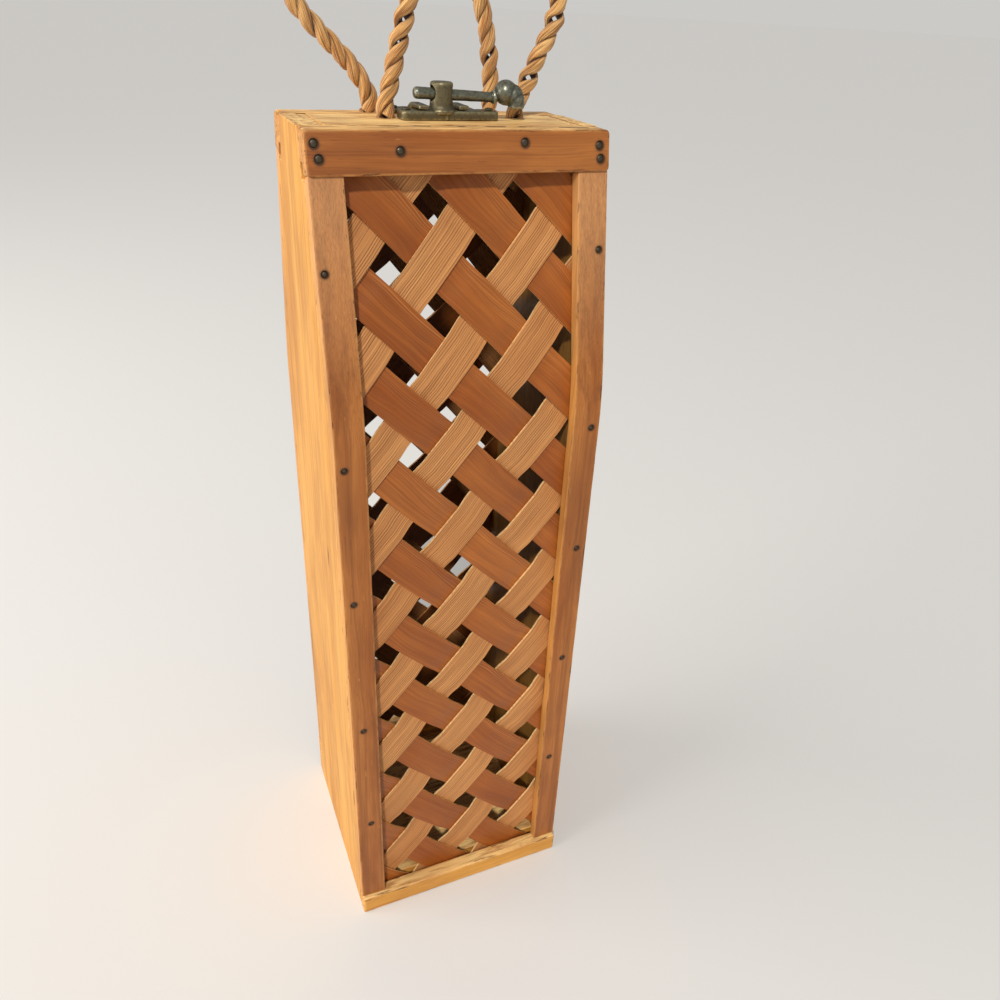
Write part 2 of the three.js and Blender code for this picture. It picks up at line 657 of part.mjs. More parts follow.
// Rear foot rail with the fixed leaves of the hinges
add(rearFixed, 'rear_foot_rail', footRail(), 'side');
hingeX.forEach((x) => {
  const side = x < 0 ? 'right' : 'left';
  add(rearFixed, `hinge_${side}_lower_leaf`, hingeLeaf(false, x), 'brass');
  add(rearFixed, `hinge_${side}_pin`, hingePin(x), 'brass');
  add(doorPanel, `hinge_${side}_upper_leaf`, hingeLeaf(true, x), 'brass');
});

// Door: frame and woven panel, turned round to the rear. Its strips are glued where they cross.
add(doorPanel, 'door_top_rail', cut(topRail(), [
  ...turned(rearRopeSpots.map((spot) => inHole(ropeHole(rearRope.depth + fitGap), spot))),
  ...turned(keeperScrewX.map((x) => screwHole(x, keeperMiddle, keeperTop))),
]), 'batten');
add(doorPanel, 'door_foot_rail', doorFootRail(), 'side');
add(doorPanel, 'door_right_stile', batten(-1, doorStileFoot), 'batten');
add(doorPanel, 'door_left_stile', batten(1, doorStileFoot), 'batten');
const doorWeave = wovenPanel(doorOpening, doorStripsFoot, -glueDepth);
add(doorPanel, 'door_weave', join(...doorWeave.falling, ...doorWeave.rising), 'ridgedStrip');

// Latch
add(carrier, 'latch_front_plate', latchFrontPlate(), 'bronze');
add(carrier, 'latch_bolt', latchBolt(), 'bronze');
latchScrewX.forEach((x, i) =>
  add(carrier, `latch_plate_screw_${i + 1}`, screwAt(x, latchPlateMiddle, latchPlateTop), 'bronze'));
add(doorHardware, 'latch_keeper', keeperPlate(), 'bronze');
keeperScrewX.forEach((x, i) =>
  add(doorHardware, `latch_keeper_screw_${i + 1}`, screwAt(x, keeperMiddle, keeperTop), 'bronze'));

// Rope handles
add(carrier, 'front_rope_handle', ropeLoop(frontRopeRoute, frontRopeY), 'rope');
add(doorHardware, 'rear_rope_handle', ropeLoop(rearRopeRoute, rearRopeY), 'rope');
['left', 'right'].forEach((side, i) => {
  const knotted = ropeEnd(topBoardThickness, true);
  const plain = ropeEnd(rearRope.depth, false);
  add(carrier, `front_rope_${side}_knot`, inHole(knotted, frontRopeSpots[i]), 'rope');
  add(doorHardware, `rear_rope_${side}_end`, inHole(plain, rearRopeSpots[i]), 'rope');
});

export default carrier;
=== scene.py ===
"""Looks of a wine bottle carrier: a wooden case with woven panels, rope handles and an aged slide latch.

Metres, +Z up. The woven front faces -Y and the hinged rear door faces +Y. Every piece is built around the
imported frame, rides on one of its bodies and takes its place from the frame or from the sizes below.
"""

import logging
import math
import random
from collections.abc import Callable, Iterable, Sequence
from dataclasses import dataclass
from enum import Enum

import bmesh
import bpy
from mathutils import Matrix, Vector, noise


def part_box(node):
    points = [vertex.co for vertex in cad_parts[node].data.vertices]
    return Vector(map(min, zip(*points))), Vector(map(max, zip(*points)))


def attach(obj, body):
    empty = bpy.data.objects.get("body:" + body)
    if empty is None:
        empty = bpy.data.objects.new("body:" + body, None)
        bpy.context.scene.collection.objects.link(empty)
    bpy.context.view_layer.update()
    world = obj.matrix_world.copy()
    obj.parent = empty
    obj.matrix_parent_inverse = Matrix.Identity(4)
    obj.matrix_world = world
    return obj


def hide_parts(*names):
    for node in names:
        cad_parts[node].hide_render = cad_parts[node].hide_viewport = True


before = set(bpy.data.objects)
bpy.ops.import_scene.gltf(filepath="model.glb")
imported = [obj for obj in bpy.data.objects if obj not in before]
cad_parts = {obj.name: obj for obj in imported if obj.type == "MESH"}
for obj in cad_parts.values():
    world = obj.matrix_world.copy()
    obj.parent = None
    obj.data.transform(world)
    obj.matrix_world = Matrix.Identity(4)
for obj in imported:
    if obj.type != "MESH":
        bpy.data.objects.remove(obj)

log = logging.getLogger("bottle_carrier")

MM = 0.001
TURN = 2 * math.pi
MERGE_DISTANCE = 1e-6
FLAT_ANGLE = math.radians(0.5)
SHARP_ANGLE = math.radians(24)
SMOOTH_ANGLE = math.radians(35)
CURVE_PARTS = 24
CASE_WIDTH = 109 * MM

Colour = tuple[float, float, float]
Pair = tuple[float, float]
Spot = tuple[float, float, float]
Socket = bpy.types.NodeSocket
Mesh = bmesh.types.BMesh
Material = bpy.types.Material
Piece = bpy.types.Object


class Slot(str, Enum):
    """The record's material slots."""

    SOFTWOOD = "golden_softwood"
    FRAME = "stained_frame"
    SMOOTH = "smooth_strip"
    RIDGED = "ridged_strip"
    ROPE = "jute_rope"
    BRONZE = "aged_bronze"
    BRASS = "hinge_brass"


class Body(str, Enum):
    """The bodies that pieces ride on."""

    CASE = "case"
    DOOR = "door"
    BOLT = "bolt"


class Grain(Enum):
    """The axis that a board's grain follows, as the order in which X, Y and Z are read."""

    UPRIGHT = ("Z", "X", "Y")
    ACROSS = ("X", "Y", "Z")


def paint(code: str) -> Colour:
    """Turns a colour as it is seen on a screen into linear light.

    Args:
        code: Six hexadecimal digits, red, green and blue.

    Returns:
        The linear colour.
    """
    channels = [int(code[i:i + 2], 16) / 255 for i in (0, 2, 4)]
    return tuple(c / 12.92 if c <= 0.04045 else ((c + 0.055) / 1.055) ** 2.4 for c in channels)


def rgba(colour: Colour) -> tuple[float, float, float, float]:
    """Adds full opacity to a colour."""
    return (*colour, 1.0)


@dataclass(frozen=True)
class Marks:
    """A noise that spreads marks over a surface.

    Along and across are its counts per metre with the grain and across it. The shift keeps it apart from
    other marks, and the stops turn its height into the share of the surface's colour that it takes.
    """

    along: float
    across: float
    shift: Spot = (0, 0, 0)
    detail: float = 2
    roughness: float = 0.5
    stops: tuple[Pair, ...] = ()


class Graph:
    """The node tree of one material, with short calls for the nodes that the finishes use."""

    def __init__(self, name: str) -> None:
        """Makes an empty material with its shader.

        Args:
            name: The material's name.
        """
        self.material = bpy.data.materials.new(name)
        self.material.use_nodes = True
        self.tree = self.material.node_tree
        self.shader = self.tree.nodes["Principled BSDF"]
        self.coordinates = self.tree.nodes.new("ShaderNodeTexCoord")

    def node(self, kind: str, inputs: dict | None = None, **settings) -> bpy.types.Node:
        """Adds a node.

        Args:
            kind: The node's type.
            inputs: Values or output sockets by input name or index.
            **settings: The node's own properties.

        Returns:
            The new node.
        """
        made = self.tree.nodes.new(kind)
        for key, value in settings.items():
            setattr(made, key, value)
        for key, value in (inputs or {}).items():
            if isinstance(value, Socket):
                self.tree.links.new(value, made.inputs[key])
            else:
                made.inputs[key].default_value = value
        return made

    def set(self, **inputs) -> None:
        """Sets the shader's inputs.

        Args:
            **inputs: Values or output sockets by input name, with an underscore for each space.
        """
        for key, value in inputs.items():
            socket = self.shader.inputs[key.replace("_", " ")]
            if isinstance(value, Socket):
                self.tree.links.new(value, socket)
            else:
                socket.default_value = value

    def scaled(self, vector: Socket, scale: Sequence[float], shift: Sequence[float] = (0, 0, 0)) -> Socket:
        """Stretches coordinates by a scale per axis, then moves them."""
        inputs = {"Vector": vector, "Scale": scale, "Location": shift}
        return self.node("ShaderNodeMapping", inputs).outputs[0]

    def swayed(self, vector: Socket, sway: Socket, across: float, deep: float = 0.0) -> Socket:
        """Moves coordinates sideways by a noise, so that lines along them wander.

        Args:
            vector: The coordinates.
            sway: The noise.
            across: How far it moves the second coordinate, in metres.
            deep: How far it moves the third.

        Returns:
            The moved coordinates.
        """
        moves = {1: self.times(sway, across), 2: self.times(sway, deep)}
        shift = self.node("ShaderNodeCombineXYZ", moves).outputs[0]
        return self.node("ShaderNodeVectorMath", {0: vector, 1: shift}, operation="ADD").outputs[0]

    def grain(self, order: Sequence[str]) -> Socket:
        """Object coordinates with the grain's axis first.

        Args:
            order: The axes in the order in which they are read.

        Returns:
            The turned coordinates.
        """
        parts = self.node("ShaderNodeSeparateXYZ", {0: self.coordinates.outputs["Object"]})
        picked = {i: parts.outputs[axis] for i, axis in enumerate(order)}
        return self.node("ShaderNodeCombineXYZ", picked).outputs[0]

    def marks(self, vector: Socket, marks: Marks) -> Socket:
        """Spreads marks over a surface.

        Args:
            vector: The coordinates in metres, with the grain's axis first.
            marks: The marks.

        Returns:
            Their share from 0 to 1, or the bare noise where they have no stops.
        """
        placed = self.scaled(vector, (marks.along, marks.across, marks.across), marks.shift)
        inputs = {"Vector": placed, "Scale": 1, "Detail": marks.detail, "Roughness": marks.roughness}
        height = self.node("ShaderNodeTexNoise", inputs).outputs["Fac"]
        return self.ramp(height, *marks.stops) if marks.stops else height

    def ramp(self, factor: Socket, *stops: Pair) -> Socket:
        """A grey ramp.

        Args:
            factor: What the ramp reads.
            *stops: The place and the brightness of each stop.

        Returns:
            The ramp's output.
        """
        made = self.node("ShaderNodeValToRGB", {"Fac": factor})
        elements = made.color_ramp.elements
        while len(elements) < len(stops):
            elements.new(0.5)
        for element, (place, grey) in zip(elements, stops):
            element.position = place
            element.color = (grey, grey, grey, 1)
        return made.outputs["Color"]

    def layers(self, colour: Socket | Colour, *layers: tuple[Socket, Socket | Colour]) -> Socket:
        """Lays colours over one another.

        Args:
            colour: The lowest one, a socket or linear.
            *layers: The share and the colour of each layer, from the lowest up.

        Returns:
            The colour that is seen.
        """
        for share, tint in layers:
            under, over = (value if isinstance(value, Socket) else rgba(value) for value in (colour, tint))
            colour = self.node("ShaderNodeMix", {0: share, 6: under, 7: over}, data_type="RGBA",
                               clamp_factor=True).outputs[2]
        return colour

    def math(self, operation: str, first: float | Socket,
             second: float | Socket = 0, clamp: bool = False) -> Socket:
        """One step of arithmetic."""
        made = self.node("ShaderNodeMath", {0: first, 1: second}, operation=operation, use_clamp=clamp)
        return made.outputs[0]

    def times(self, first: float | Socket, second: float | Socket) -> Socket:
        """Multiplies two values."""
        return self.math("MULTIPLY", first, second)

    def attribute(self, name: str) -> Socket:
        """A number that the mesh holds at its vertices."""
        return self.node("ShaderNodeAttribute", attribute_name=name).outputs["Fac"]

    def span(self, value: Socket, low: float, high: float, start: float = 0.0, end: float = 1.0) -> Socket:
        """Turns a value between start and end into one between low and high."""
        inputs = {"Value": value, "From Min": start, "From Max": end, "To Min": low, "To Max": high}
        return self.node("ShaderNodeMapRange", inputs).outputs[0]

    def bump(self, height: Socket, depth: float, strength: float | Socket, over: Socket | None = None) -> Socket:
        """A bump.

        Args:
            height: What the bump follows.
            depth: Its depth in metres.
            strength: Its strength.
            over: Another bump that it lies on.

        Returns:
            The bent normal.
        """
        inputs = {"Height": height, "Distance": depth, "Strength": strength}
        if over is not None:
            inputs["Normal"] = over
        return self.node("ShaderNodeBump", inputs).outputs[0]


@dataclass(frozen=True)
class BoardFinish:
    """Stained softwood with a straight grain: boards, rails and battens."""

    name: str
    light: Colour
    dark: Colour
    line: Colour
    # The worn colour is plain wear on the scuffs, and on the rounded edges both rubbed wear and a painted
    # highlight.
    worn: Colour
    top: Colour
    order: Grain
    rings_per_metre: float = 260
    line_share: float = 0.55
    line_fade: float = 0.3
    fibres_per_metre: float = 2600
    roughness: float = 0.52
    roughness_span: Pair = (-0.1, 0.14)
    # Painted light: the flank colour paints faces turned to the sides a paler golden, for the strong warm light
    # from the left.
    flank: Colour = paint("e0a052")
    flank_share: float = 0.0
    flank_line: float = 0.7
    knots: tuple[Spot, ...] = ()
    knot_colour: Colour = paint("5f3214")
    knot_radius: float = 3.2 * MM
    knot_stretch: float = 0.28
    knot_raggedness: float = 0.8
    shade: Colour = paint("3b2210")
    # Painted shade: inside_share darkens the faces turned into the case with the shade colour.
    inside_share: float = 0.0
    inside_from: float = 0.03
    nails: tuple[Pair, ...] = ()
    nail_head: float = 1.4 * MM
    nail_gap: float = 0.38 * MM
    stain_and_shade_width: float = 1.3 * MM
    rear_shift: float = 0.6 * MM
    split: bool = False
    split_middle: float = -17.6 * MM
    split_lean: float = -0.05
    split_sway: float = 3 * MM
    split_width: float = 1.3 * MM
    # Painted light: the stained uprights are painted paler towards their tops, where their backward-leaning upper
    # parts catch more light.
    painted_light: Colour = paint("f2bc86")
    painted_light_share: float = 0.0
    painted_light_from: float = 285 * MM
    painted_light_to: float = 345 * MM
    sway: Marks = Marks(9, 34)
    sway_across: float = 6 * MM
    sway_deep: float = 4 * MM
    tone: Marks = Marks(7, 60, (3, 1, 2), 3, 0.6, ((0.32, 0), (0.68, 1)))
    pores: Marks = Marks(120, 2200, (5, 0, 0), 1, stops=((0.7, 0), (0.76, 0.5)))
    rough_top: Marks = Marks(60, 420, (1, 4, 2), 4, 0.65)
    cracks: Marks = Marks(26, 900, (4, 0, 6), 3, 0.55, ((0.64, 0), (0.68, 0.85)))
    scuffs: Marks = Marks(110, 620, (9, 2, 5), stops=((0.71, 0), (0.75, 0.55)))
    rubbed: Marks = Marks(130, 260, (0, 7, 1), 3, 0.6, ((0.38, 0.15), (0.6, 0.8)))
    chips: Marks = Marks(70, 700, (6, 1, 9), 4, 0.7, ((0.58, 0), (0.64, 0.8)))
    blotches: Marks = Marks(16, 42, (8, 3, 0), 3, 0.6, ((0.34, 0.35), (0.52, 0)))
    knot_edge: Marks = Marks(900, 900)
    knot_edge_stretch: float = 160 / 900
    split_edge: Marks = Marks(160, 0, detail=3, roughness=0.6)
    ring_relief: Pair = (0.22 * MM, 0.55)
    fibre_relief: Pair = (0.14 * MM, 0.6)
    top_relief: Pair = (0.3 * MM, 0.6)
    chip_relief: Pair = (0.5 * MM, 0.8)

    def build(self) -> Material:
        """Builds the material.

        Returns:
            The material, which reads Object coordinates and the wear and sunk attributes.
        """
        g = Graph(self.name)
        along = g.grain(self.order.value)
        place = g.node("ShaderNodeSeparateXYZ", {0: g.coordinates.outputs["Object"]})
        facing = g.node("ShaderNodeSeparateXYZ", {0: g.coordinates.outputs["Normal"]})
        swayed = g.swayed(along, g.marks(along, self.sway), self.sway_across, self.sway_deep)
        rings = g.marks(swayed, Marks(2.4, self.rings_per_metre, roughness=0.55))
        fine = g.marks(swayed, Marks(22, self.fibres_per_metre, detail=3, roughness=0.6))
        lines = g.ramp(rings, (0.47, 0), (0.56, self.line_share), (0.6, self.line_share * self.line_fade),
                       (0.72, 0))
        colour = g.layers(
            self.light, (g.marks(along, self.tone), self.dark), (lines, self.line),
            (g.ramp(fine, (0.36, 0.3), (0.62, 0)), self.line), (g.marks(along, self.pores), self.knot_colour),
            *((self._knot(g, spot), self.knot_colour) for spot in self.knots))
        # Painted light: faces turned to the sides take the golden flank colour by flank_share, standing in for the
        # light from the left.
        sideways = g.ramp(g.math("ABSOLUTE", facing.outputs["X"]), (0.55, 0), (0.85, 1))
        flank = g.layers(self.flank, (g.times(lines, self.flank_line), self.line))
        upper = g.ramp(facing.outputs["Z"], (0.45, 0), (0.85, 1))
        rough_top = g.marks(along, self.rough_top)
        top = g.layers(self.top, (g.ramp(rough_top, (0.36, 0.75), (0.56, 0)), self.line),
                       (g.marks(along, self.cracks), self.knot_colour))
        worn = g.attribute("wear")
        chips = g.times(g.marks(along, self.chips), worn)
        # The rounded edges are painted paler where the wear attribute is high: rubbed wear together with a painted
        # highlight where the edges catch the light.
        colour = g.layers(
            colour, (g.times(sideways, self.flank_share), flank), (upper, top),
            (g.marks(along, self.scuffs), self.worn), (g.times(worn, g.marks(along, self.rubbed)), self.worn),
            (chips, self.knot_colour), (g.marks(along, self.blotches), self.line))
        # Painted light: paler streaks up the stained uprights' tops, standing in for the light that their upper
        # parts catch.
        if self.painted_light_share:
            height = g.ramp(place.outputs["Z"], (self.painted_light_from, 0), (self.painted_light_to, self.painted_light_share))
            streaks = g.ramp(fine, (0.3, 0.6), (0.6, 1))
            colour = g.layers(colour, (g.times(height, streaks), self.painted_light))
        # Painted shade: faces turned in towards the middle of the case are darkened with the shade colour.
        inside = g.math("LESS_THAN", g.times(facing.outputs["X"], place.outputs["X"]), -self.inside_from)
        # Painted shade: the walls of the nail and rope holes, marked by the sunk attribute, are darkened with the
        # shade colour.
        colour = g.layers(colour, (g.times(inside, self.inside_share), self.shade),
                          (g.ramp(g.attribute("sunk"), (0.02, 0), (0.25, 0.9)), self.shade))
        # Dark rings round the nails: iron stain with painted shade round the sunk heads.
        if self.nails:
            colour = g.layers(colour, (self._stain_and_shade_rings(g, place), self.shade))
        if self.split:
            colour = g.layers(colour, (g.times(upper, self._splits(g, place)), self.shade))
        smoother, rougher = self.roughness_span
        relief = g.bump(rings, *self.ring_relief)
        relief = g.bump(fine, *self.fibre_relief, relief)
        depth, strength = self.top_relief
        relief = g.bump(rough_top, depth, g.times(upper, strength), relief)
        relief = g.bump(g.math("SUBTRACT", 1, chips), *self.chip_relief, relief)
        g.set(Base_Color=colour, Normal=relief, Specular_IOR_Level=0.42,
              Roughness=g.span(fine, self.roughness + smoother, self.roughness + rougher))
        return g.material

    def _stain_and_shade_rings(self, g: Graph, place: bpy.types.Node) -> Socket:
        """Dark rings round the nails of the front and, turned round, of the rear: iron stain together with painted
        shade round the sunk heads.

        Args:
            g: The material's graph.
            place: The node that gives the place's X, Y and Z.

        Returns:
            A share from 0 to 1.
        """
        behind = g.math("GREATER_THAN", place.outputs["Y"], 0)
        side = g.math("SUBTRACT", 1, g.times(behind, 2))
        across = g.math("SUBTRACT", g.times(place.outputs["X"], side), g.times(behind, self.rear_shift))
        flat = g.node("ShaderNodeCombineXYZ", {0: across, 2: place.outputs["Z"]}).outputs[0]
        nearest = 1.0
        for x, z in self.nails:
            reach = g.node("ShaderNodeVectorMath", {0: flat, 1: (x * MM, 0, z * MM)},
                           operation="DISTANCE").outputs["Value"]
            nearest = g.math("MINIMUM", reach, nearest)
        edge = self.nail_head + self.stain_and_shade_width
        full = (self.nail_head + self.nail_gap) / edge
        return g.ramp(g.math("DIVIDE", nearest, edge), (full, 0.92), (full + 0.1, 0.35), (1, 0))

    def _splits(self, g: Graph, place: bpy.types.Node) -> Socket:
        """Ragged dark dashes in a row along the top of the front rail, where its edge has splintered.

        Args:
            g: The material's graph.
            place: The node that gives the place's X, Y and Z.

        Returns:
            A share from 0 to 1.
        """
        run = g.coordinates.outputs["Object"]
        sway = g.times(g.math("SUBTRACT", g.marks(run, self.split_edge), 0.5), self.split_sway)
        middle = g.math("ADD", g.times(place.outputs["X"], self.split_lean), self.split_middle)
        off = g.math("ABSOLUTE", g.math("SUBTRACT", g.math("SUBTRACT", place.outputs["Y"], middle), sway))
        near = g.ramp(g.math("DIVIDE", off, self.split_width), (0.45, 0.95), (1, 0))
        broken = g.marks(g.scaled(run, (1, 1, 0)), Marks(105, 60, (4, 0, 0), stops=((0.49, 0), (0.54, 1))))
        return g.times(near, broken)

    def _knot(self, g: Graph, spot: Sequence[float]) -> Socket:
        """A knot's share of the colour: a small oval, drawn out along the grain.

        Args:
            g: The material's graph.
            spot: The knot's place.

        Returns:
            A share from 0 to 1.
        """
        run = g.coordinates.outputs["Object"]
        moved = g.node("ShaderNodeVectorMath", {0: run, 1: spot}, operation="SUBTRACT").outputs[0]
        oval = g.scaled(moved, (1, 1, self.knot_stretch))
        reach = g.node("ShaderNodeVectorMath", {0: oval}, operation="LENGTH").outputs["Value"]
        ragged = g.marks(g.scaled(run, (1, 1, self.knot_edge_stretch)), self.knot_edge)
        reach = g.math("DIVIDE", reach, self.knot_radius)
        reach = g.math("ADD", reach, g.times(ragged, self.knot_raggedness))
        return g.ramp(reach, (0.5, 0.85), (1.0, 0.0))


@dataclass(frozen=True)
class StripFinish:
    """Thin wooden strips, read along and across each strip by its UV map in metres."""

    name: str
    light: Colour
    dark: Colour
    line: Colour
    # The edge colour paints the strips' cut edges paler: raw wood at the cut, together with a painted highlight
    # where the edges catch the light.
    edge: Colour
    lines_per_metre: float
    line_share: float
    relief: float
    roughness: float
    figure: float
    # On the ridged strips these are dark lines in the wood; on the smooth strips they are pale, painted glints
    # along one side.
    comb_line_and_glint: Colour
    combs_per_metre: float
    comb_line_and_glint_share: float
    comb_from: float
    # Painted shade: the shade colour darkens the strips' back faces, inside the case.
    shade: Colour = paint("3a1e0c")
    shade_share: float = 0.5
    roughness_span: Pair = (-0.08, 0.15)
    fibres_per_line: float = 3.2
    comb_wander: float = 14
    sway: Marks = Marks(16, 50)
    tone: Marks = Marks(9, 30, (4, 2, 0), 3, 0.6, ((0.3, 0), (0.7, 1)))
    dense: Marks = Marks(14, 140, (7, 3, 0), stops=((0.34, 0.45), (0.58, 1)))
    specks: Marks = Marks(260, 2600, (9, 0, 0), 1, stops=((0.72, 0), (0.78, 0.45)))
    ragged: Marks = Marks(700, 700, stops=((0.3, 0.5), (0.6, 1)))
    wander: Marks = Marks(5, 170, (3, 8, 0))
    held: Marks = Marks(22, 420, (1, 5, 0), stops=((0.36, 0.15), (0.56, 1)))

    def build(self) -> Material:
        """Builds the material.

        Returns:
            The material, which reads the UV map and the rim, side and inner attributes.
        """
        g = Graph(self.name)
        flat = g.coordinates.outputs["UV"]
        bent = g.swayed(flat, g.marks(flat, self.sway), self.figure)
        rings = g.marks(bent, Marks(5, self.lines_per_metre, roughness=0.7))
        fine = g.marks(bent, Marks(40, self.lines_per_metre * self.fibres_per_line, (0, 6, 0), 3, 0.65))
        lines = g.ramp(rings, (0.4, 0), (0.5, self.line_share), (0.56, self.line_share), (0.66, 0))
        lines = g.times(lines, g.marks(flat, self.dense))
        # Thin lines along one side of the strip: dark ridges on the ridged strips, painted glints on the smooth
        # ones.
        combed = self._combed(g, bent)
        # Painted shade on the strips' back faces, marked by the inner attribute.
        colour = g.layers(
            self.light, (g.marks(flat, self.tone), self.dark), (lines, self.line),
            (g.ramp(fine, (0.36, self.line_share * 0.8), (0.58, 0)), self.line),
            (g.marks(flat, self.specks), self.line), (g.times(combed, self.comb_line_and_glint_share), self.comb_line_and_glint),
            (g.times(g.attribute("inner"), self.shade_share), self.shade),
            (g.times(g.attribute("rim"), g.marks(flat, self.ragged)), self.edge))
        smoother, rougher = self.roughness_span
        relief = g.bump(rings, self.relief, 0.9)
        relief = g.bump(fine, self.relief * 0.45, 0.8, relief)
        relief = g.bump(g.math("SUBTRACT", 1, combed), self.relief, 0.8, relief)
        g.set(Base_Color=colour, Normal=relief, Specular_IOR_Level=0.4,
              Roughness=g.span(fine, self.roughness + smoother, self.roughness + rougher))
        return g.material

    def _combed(self, g: Graph, bent: Socket) -> Socket:
        """Thin, nearly even lines that run with the strip and come and go over it.

        Args:
            g: The material's graph.
            bent: The strip's coordinates, a little swayed.

        Returns:
            A share from 0 to 1.
        """
        across = g.node("ShaderNodeSeparateXYZ", {0: bent}).outputs["Y"]
        turns = g.times(across, self.combs_per_metre * TURN)
        wander = g.times(g.marks(bent, self.wander), self.comb_wander)
        thin = g.ramp(g.math("SINE", g.math("ADD", turns, wander)), (0.45, 0), (0.85, 1))
        shown = g.times(thin, g.marks(bent, self.held))
        sided = g.ramp(g.attribute("side"), (self.comb_from, 0.12), (self.comb_from + 0.3, 1))
        return g.times(shown, sided)


@dataclass(frozen=True)
class RopeFinish:
    """Laid plant fibre, read along and round each strand by its UV map in metres."""

    name: str = "plant_fibre"
    light: Colour = paint("eab46c")
    dark: Colour = paint("a8662a")
    # Painted shade: the crevice colour darkens the gaps between fibres and bundles and, by the crevice attribute,
    # the sides where the strands turn in towards each other.
    crevice: Colour = paint("381a06")
    pale: Colour = paint("ffe6b0")
    crevice_share: float = 0.96
    tone: Marks = Marks(70, 260, detail=3, roughness=0.6, stops=((0.34, 0), (0.66, 1)))
    fibres: Marks = Marks(110, 5200, (0, 3, 0), 3, 0.7)
    bundles: Marks = Marks(50, 1500, (2, 0, 0), 2, 0.6)
    bundle_relief: Pair = (0.3 * MM, 0.8)
    fibre_relief: Pair = (0.14 * MM, 0.9)

    def build(self) -> Material:
        """Builds the material.

        Returns:
            The material, which reads the UV map.
        """
        g = Graph(self.name)
        flat = g.coordinates.outputs["UV"]
        fibres = g.marks(flat, self.fibres)
        bundles = g.marks(flat, self.bundles)
        # Painted shade in the crevices between strands and in the gaps between fibres.
        colour = g.layers(
            self.light, (g.marks(flat, self.tone), self.dark),
            (g.ramp(fibres, (0.36, 0.7), (0.49, 0)), self.crevice),
            (g.ramp(fibres, (0.52, 0), (0.66, 0.75)), self.pale),
            (g.ramp(bundles, (0.36, 0.6), (0.48, 0)), self.crevice),
            (g.times(g.attribute("crevice"), self.crevice_share), self.crevice))
        relief = g.bump(bundles, *self.bundle_relief)
        relief = g.bump(fibres, *self.fibre_relief, relief)
        g.set(Base_Color=colour, Roughness=0.78, Normal=relief, Specular_IOR_Level=0.25,
              Sheen_Weight=0.25, Sheen_Roughness=0.5)
        return g.material


@dataclass(frozen=True)
class MetalFinish:
    """Aged metal: a patina spread in clouds, grime in small pits, rubbed bright where it stands proud."""

    name: str
    metal: Colour
    patina: Colour
    grime: Colour
    bright: Colour
    roughness: float = 0.42
    roughness_span: Pair = (0.16, -0.06)
    pits_per_metre: float = 900
    patina_share: float = 0.75
    pit_share: float = 0.35
    clouds: Marks = Marks(230, 230, detail=4, roughness=0.65)
    cloud_relief: Pair = (0.3 * MM, 0.35)
    pit_relief: Pair = (0.1 * MM, 0.25)

    def build(self) -> Material:
        """Builds the material.

        Returns:
            The material, which reads Object coordinates and the wear attribute.
        """
        g = Graph(self.name)
        place = g.coordinates.outputs["Object"]
        clouds = g.marks(place, self.clouds)
        pits = g.marks(place, Marks(self.pits_per_metre, self.pits_per_metre, (1, 2, 3), 3, 0.6))
        share = g.ramp(clouds, (0.36, 0.25), (0.58, self.patina_share))
        rubbed = g.times(g.attribute("wear"), g.ramp(pits, (0.35, 0.2), (0.6, 1)))
        colour = g.layers(self.metal, (share, self.patina),
                          (g.ramp(pits, (0.3, self.pit_share), (0.46, 0)), self.grime), (rubbed, self.bright))
        shine = g.math("SUBTRACT", 0.95, g.times(share, 0.55), clamp=True)
        hollow, proud = self.roughness_span
        gloss = g.span(pits, self.roughness + hollow, self.roughness + proud, 0.3, 0.7)
        relief = g.bump(clouds, *self.cloud_relief)
        relief = g.bump(pits, *self.pit_relief, relief)
        g.set(Base_Color=colour, Metallic=shine, Roughness=gloss, Normal=relief)
        return g.material


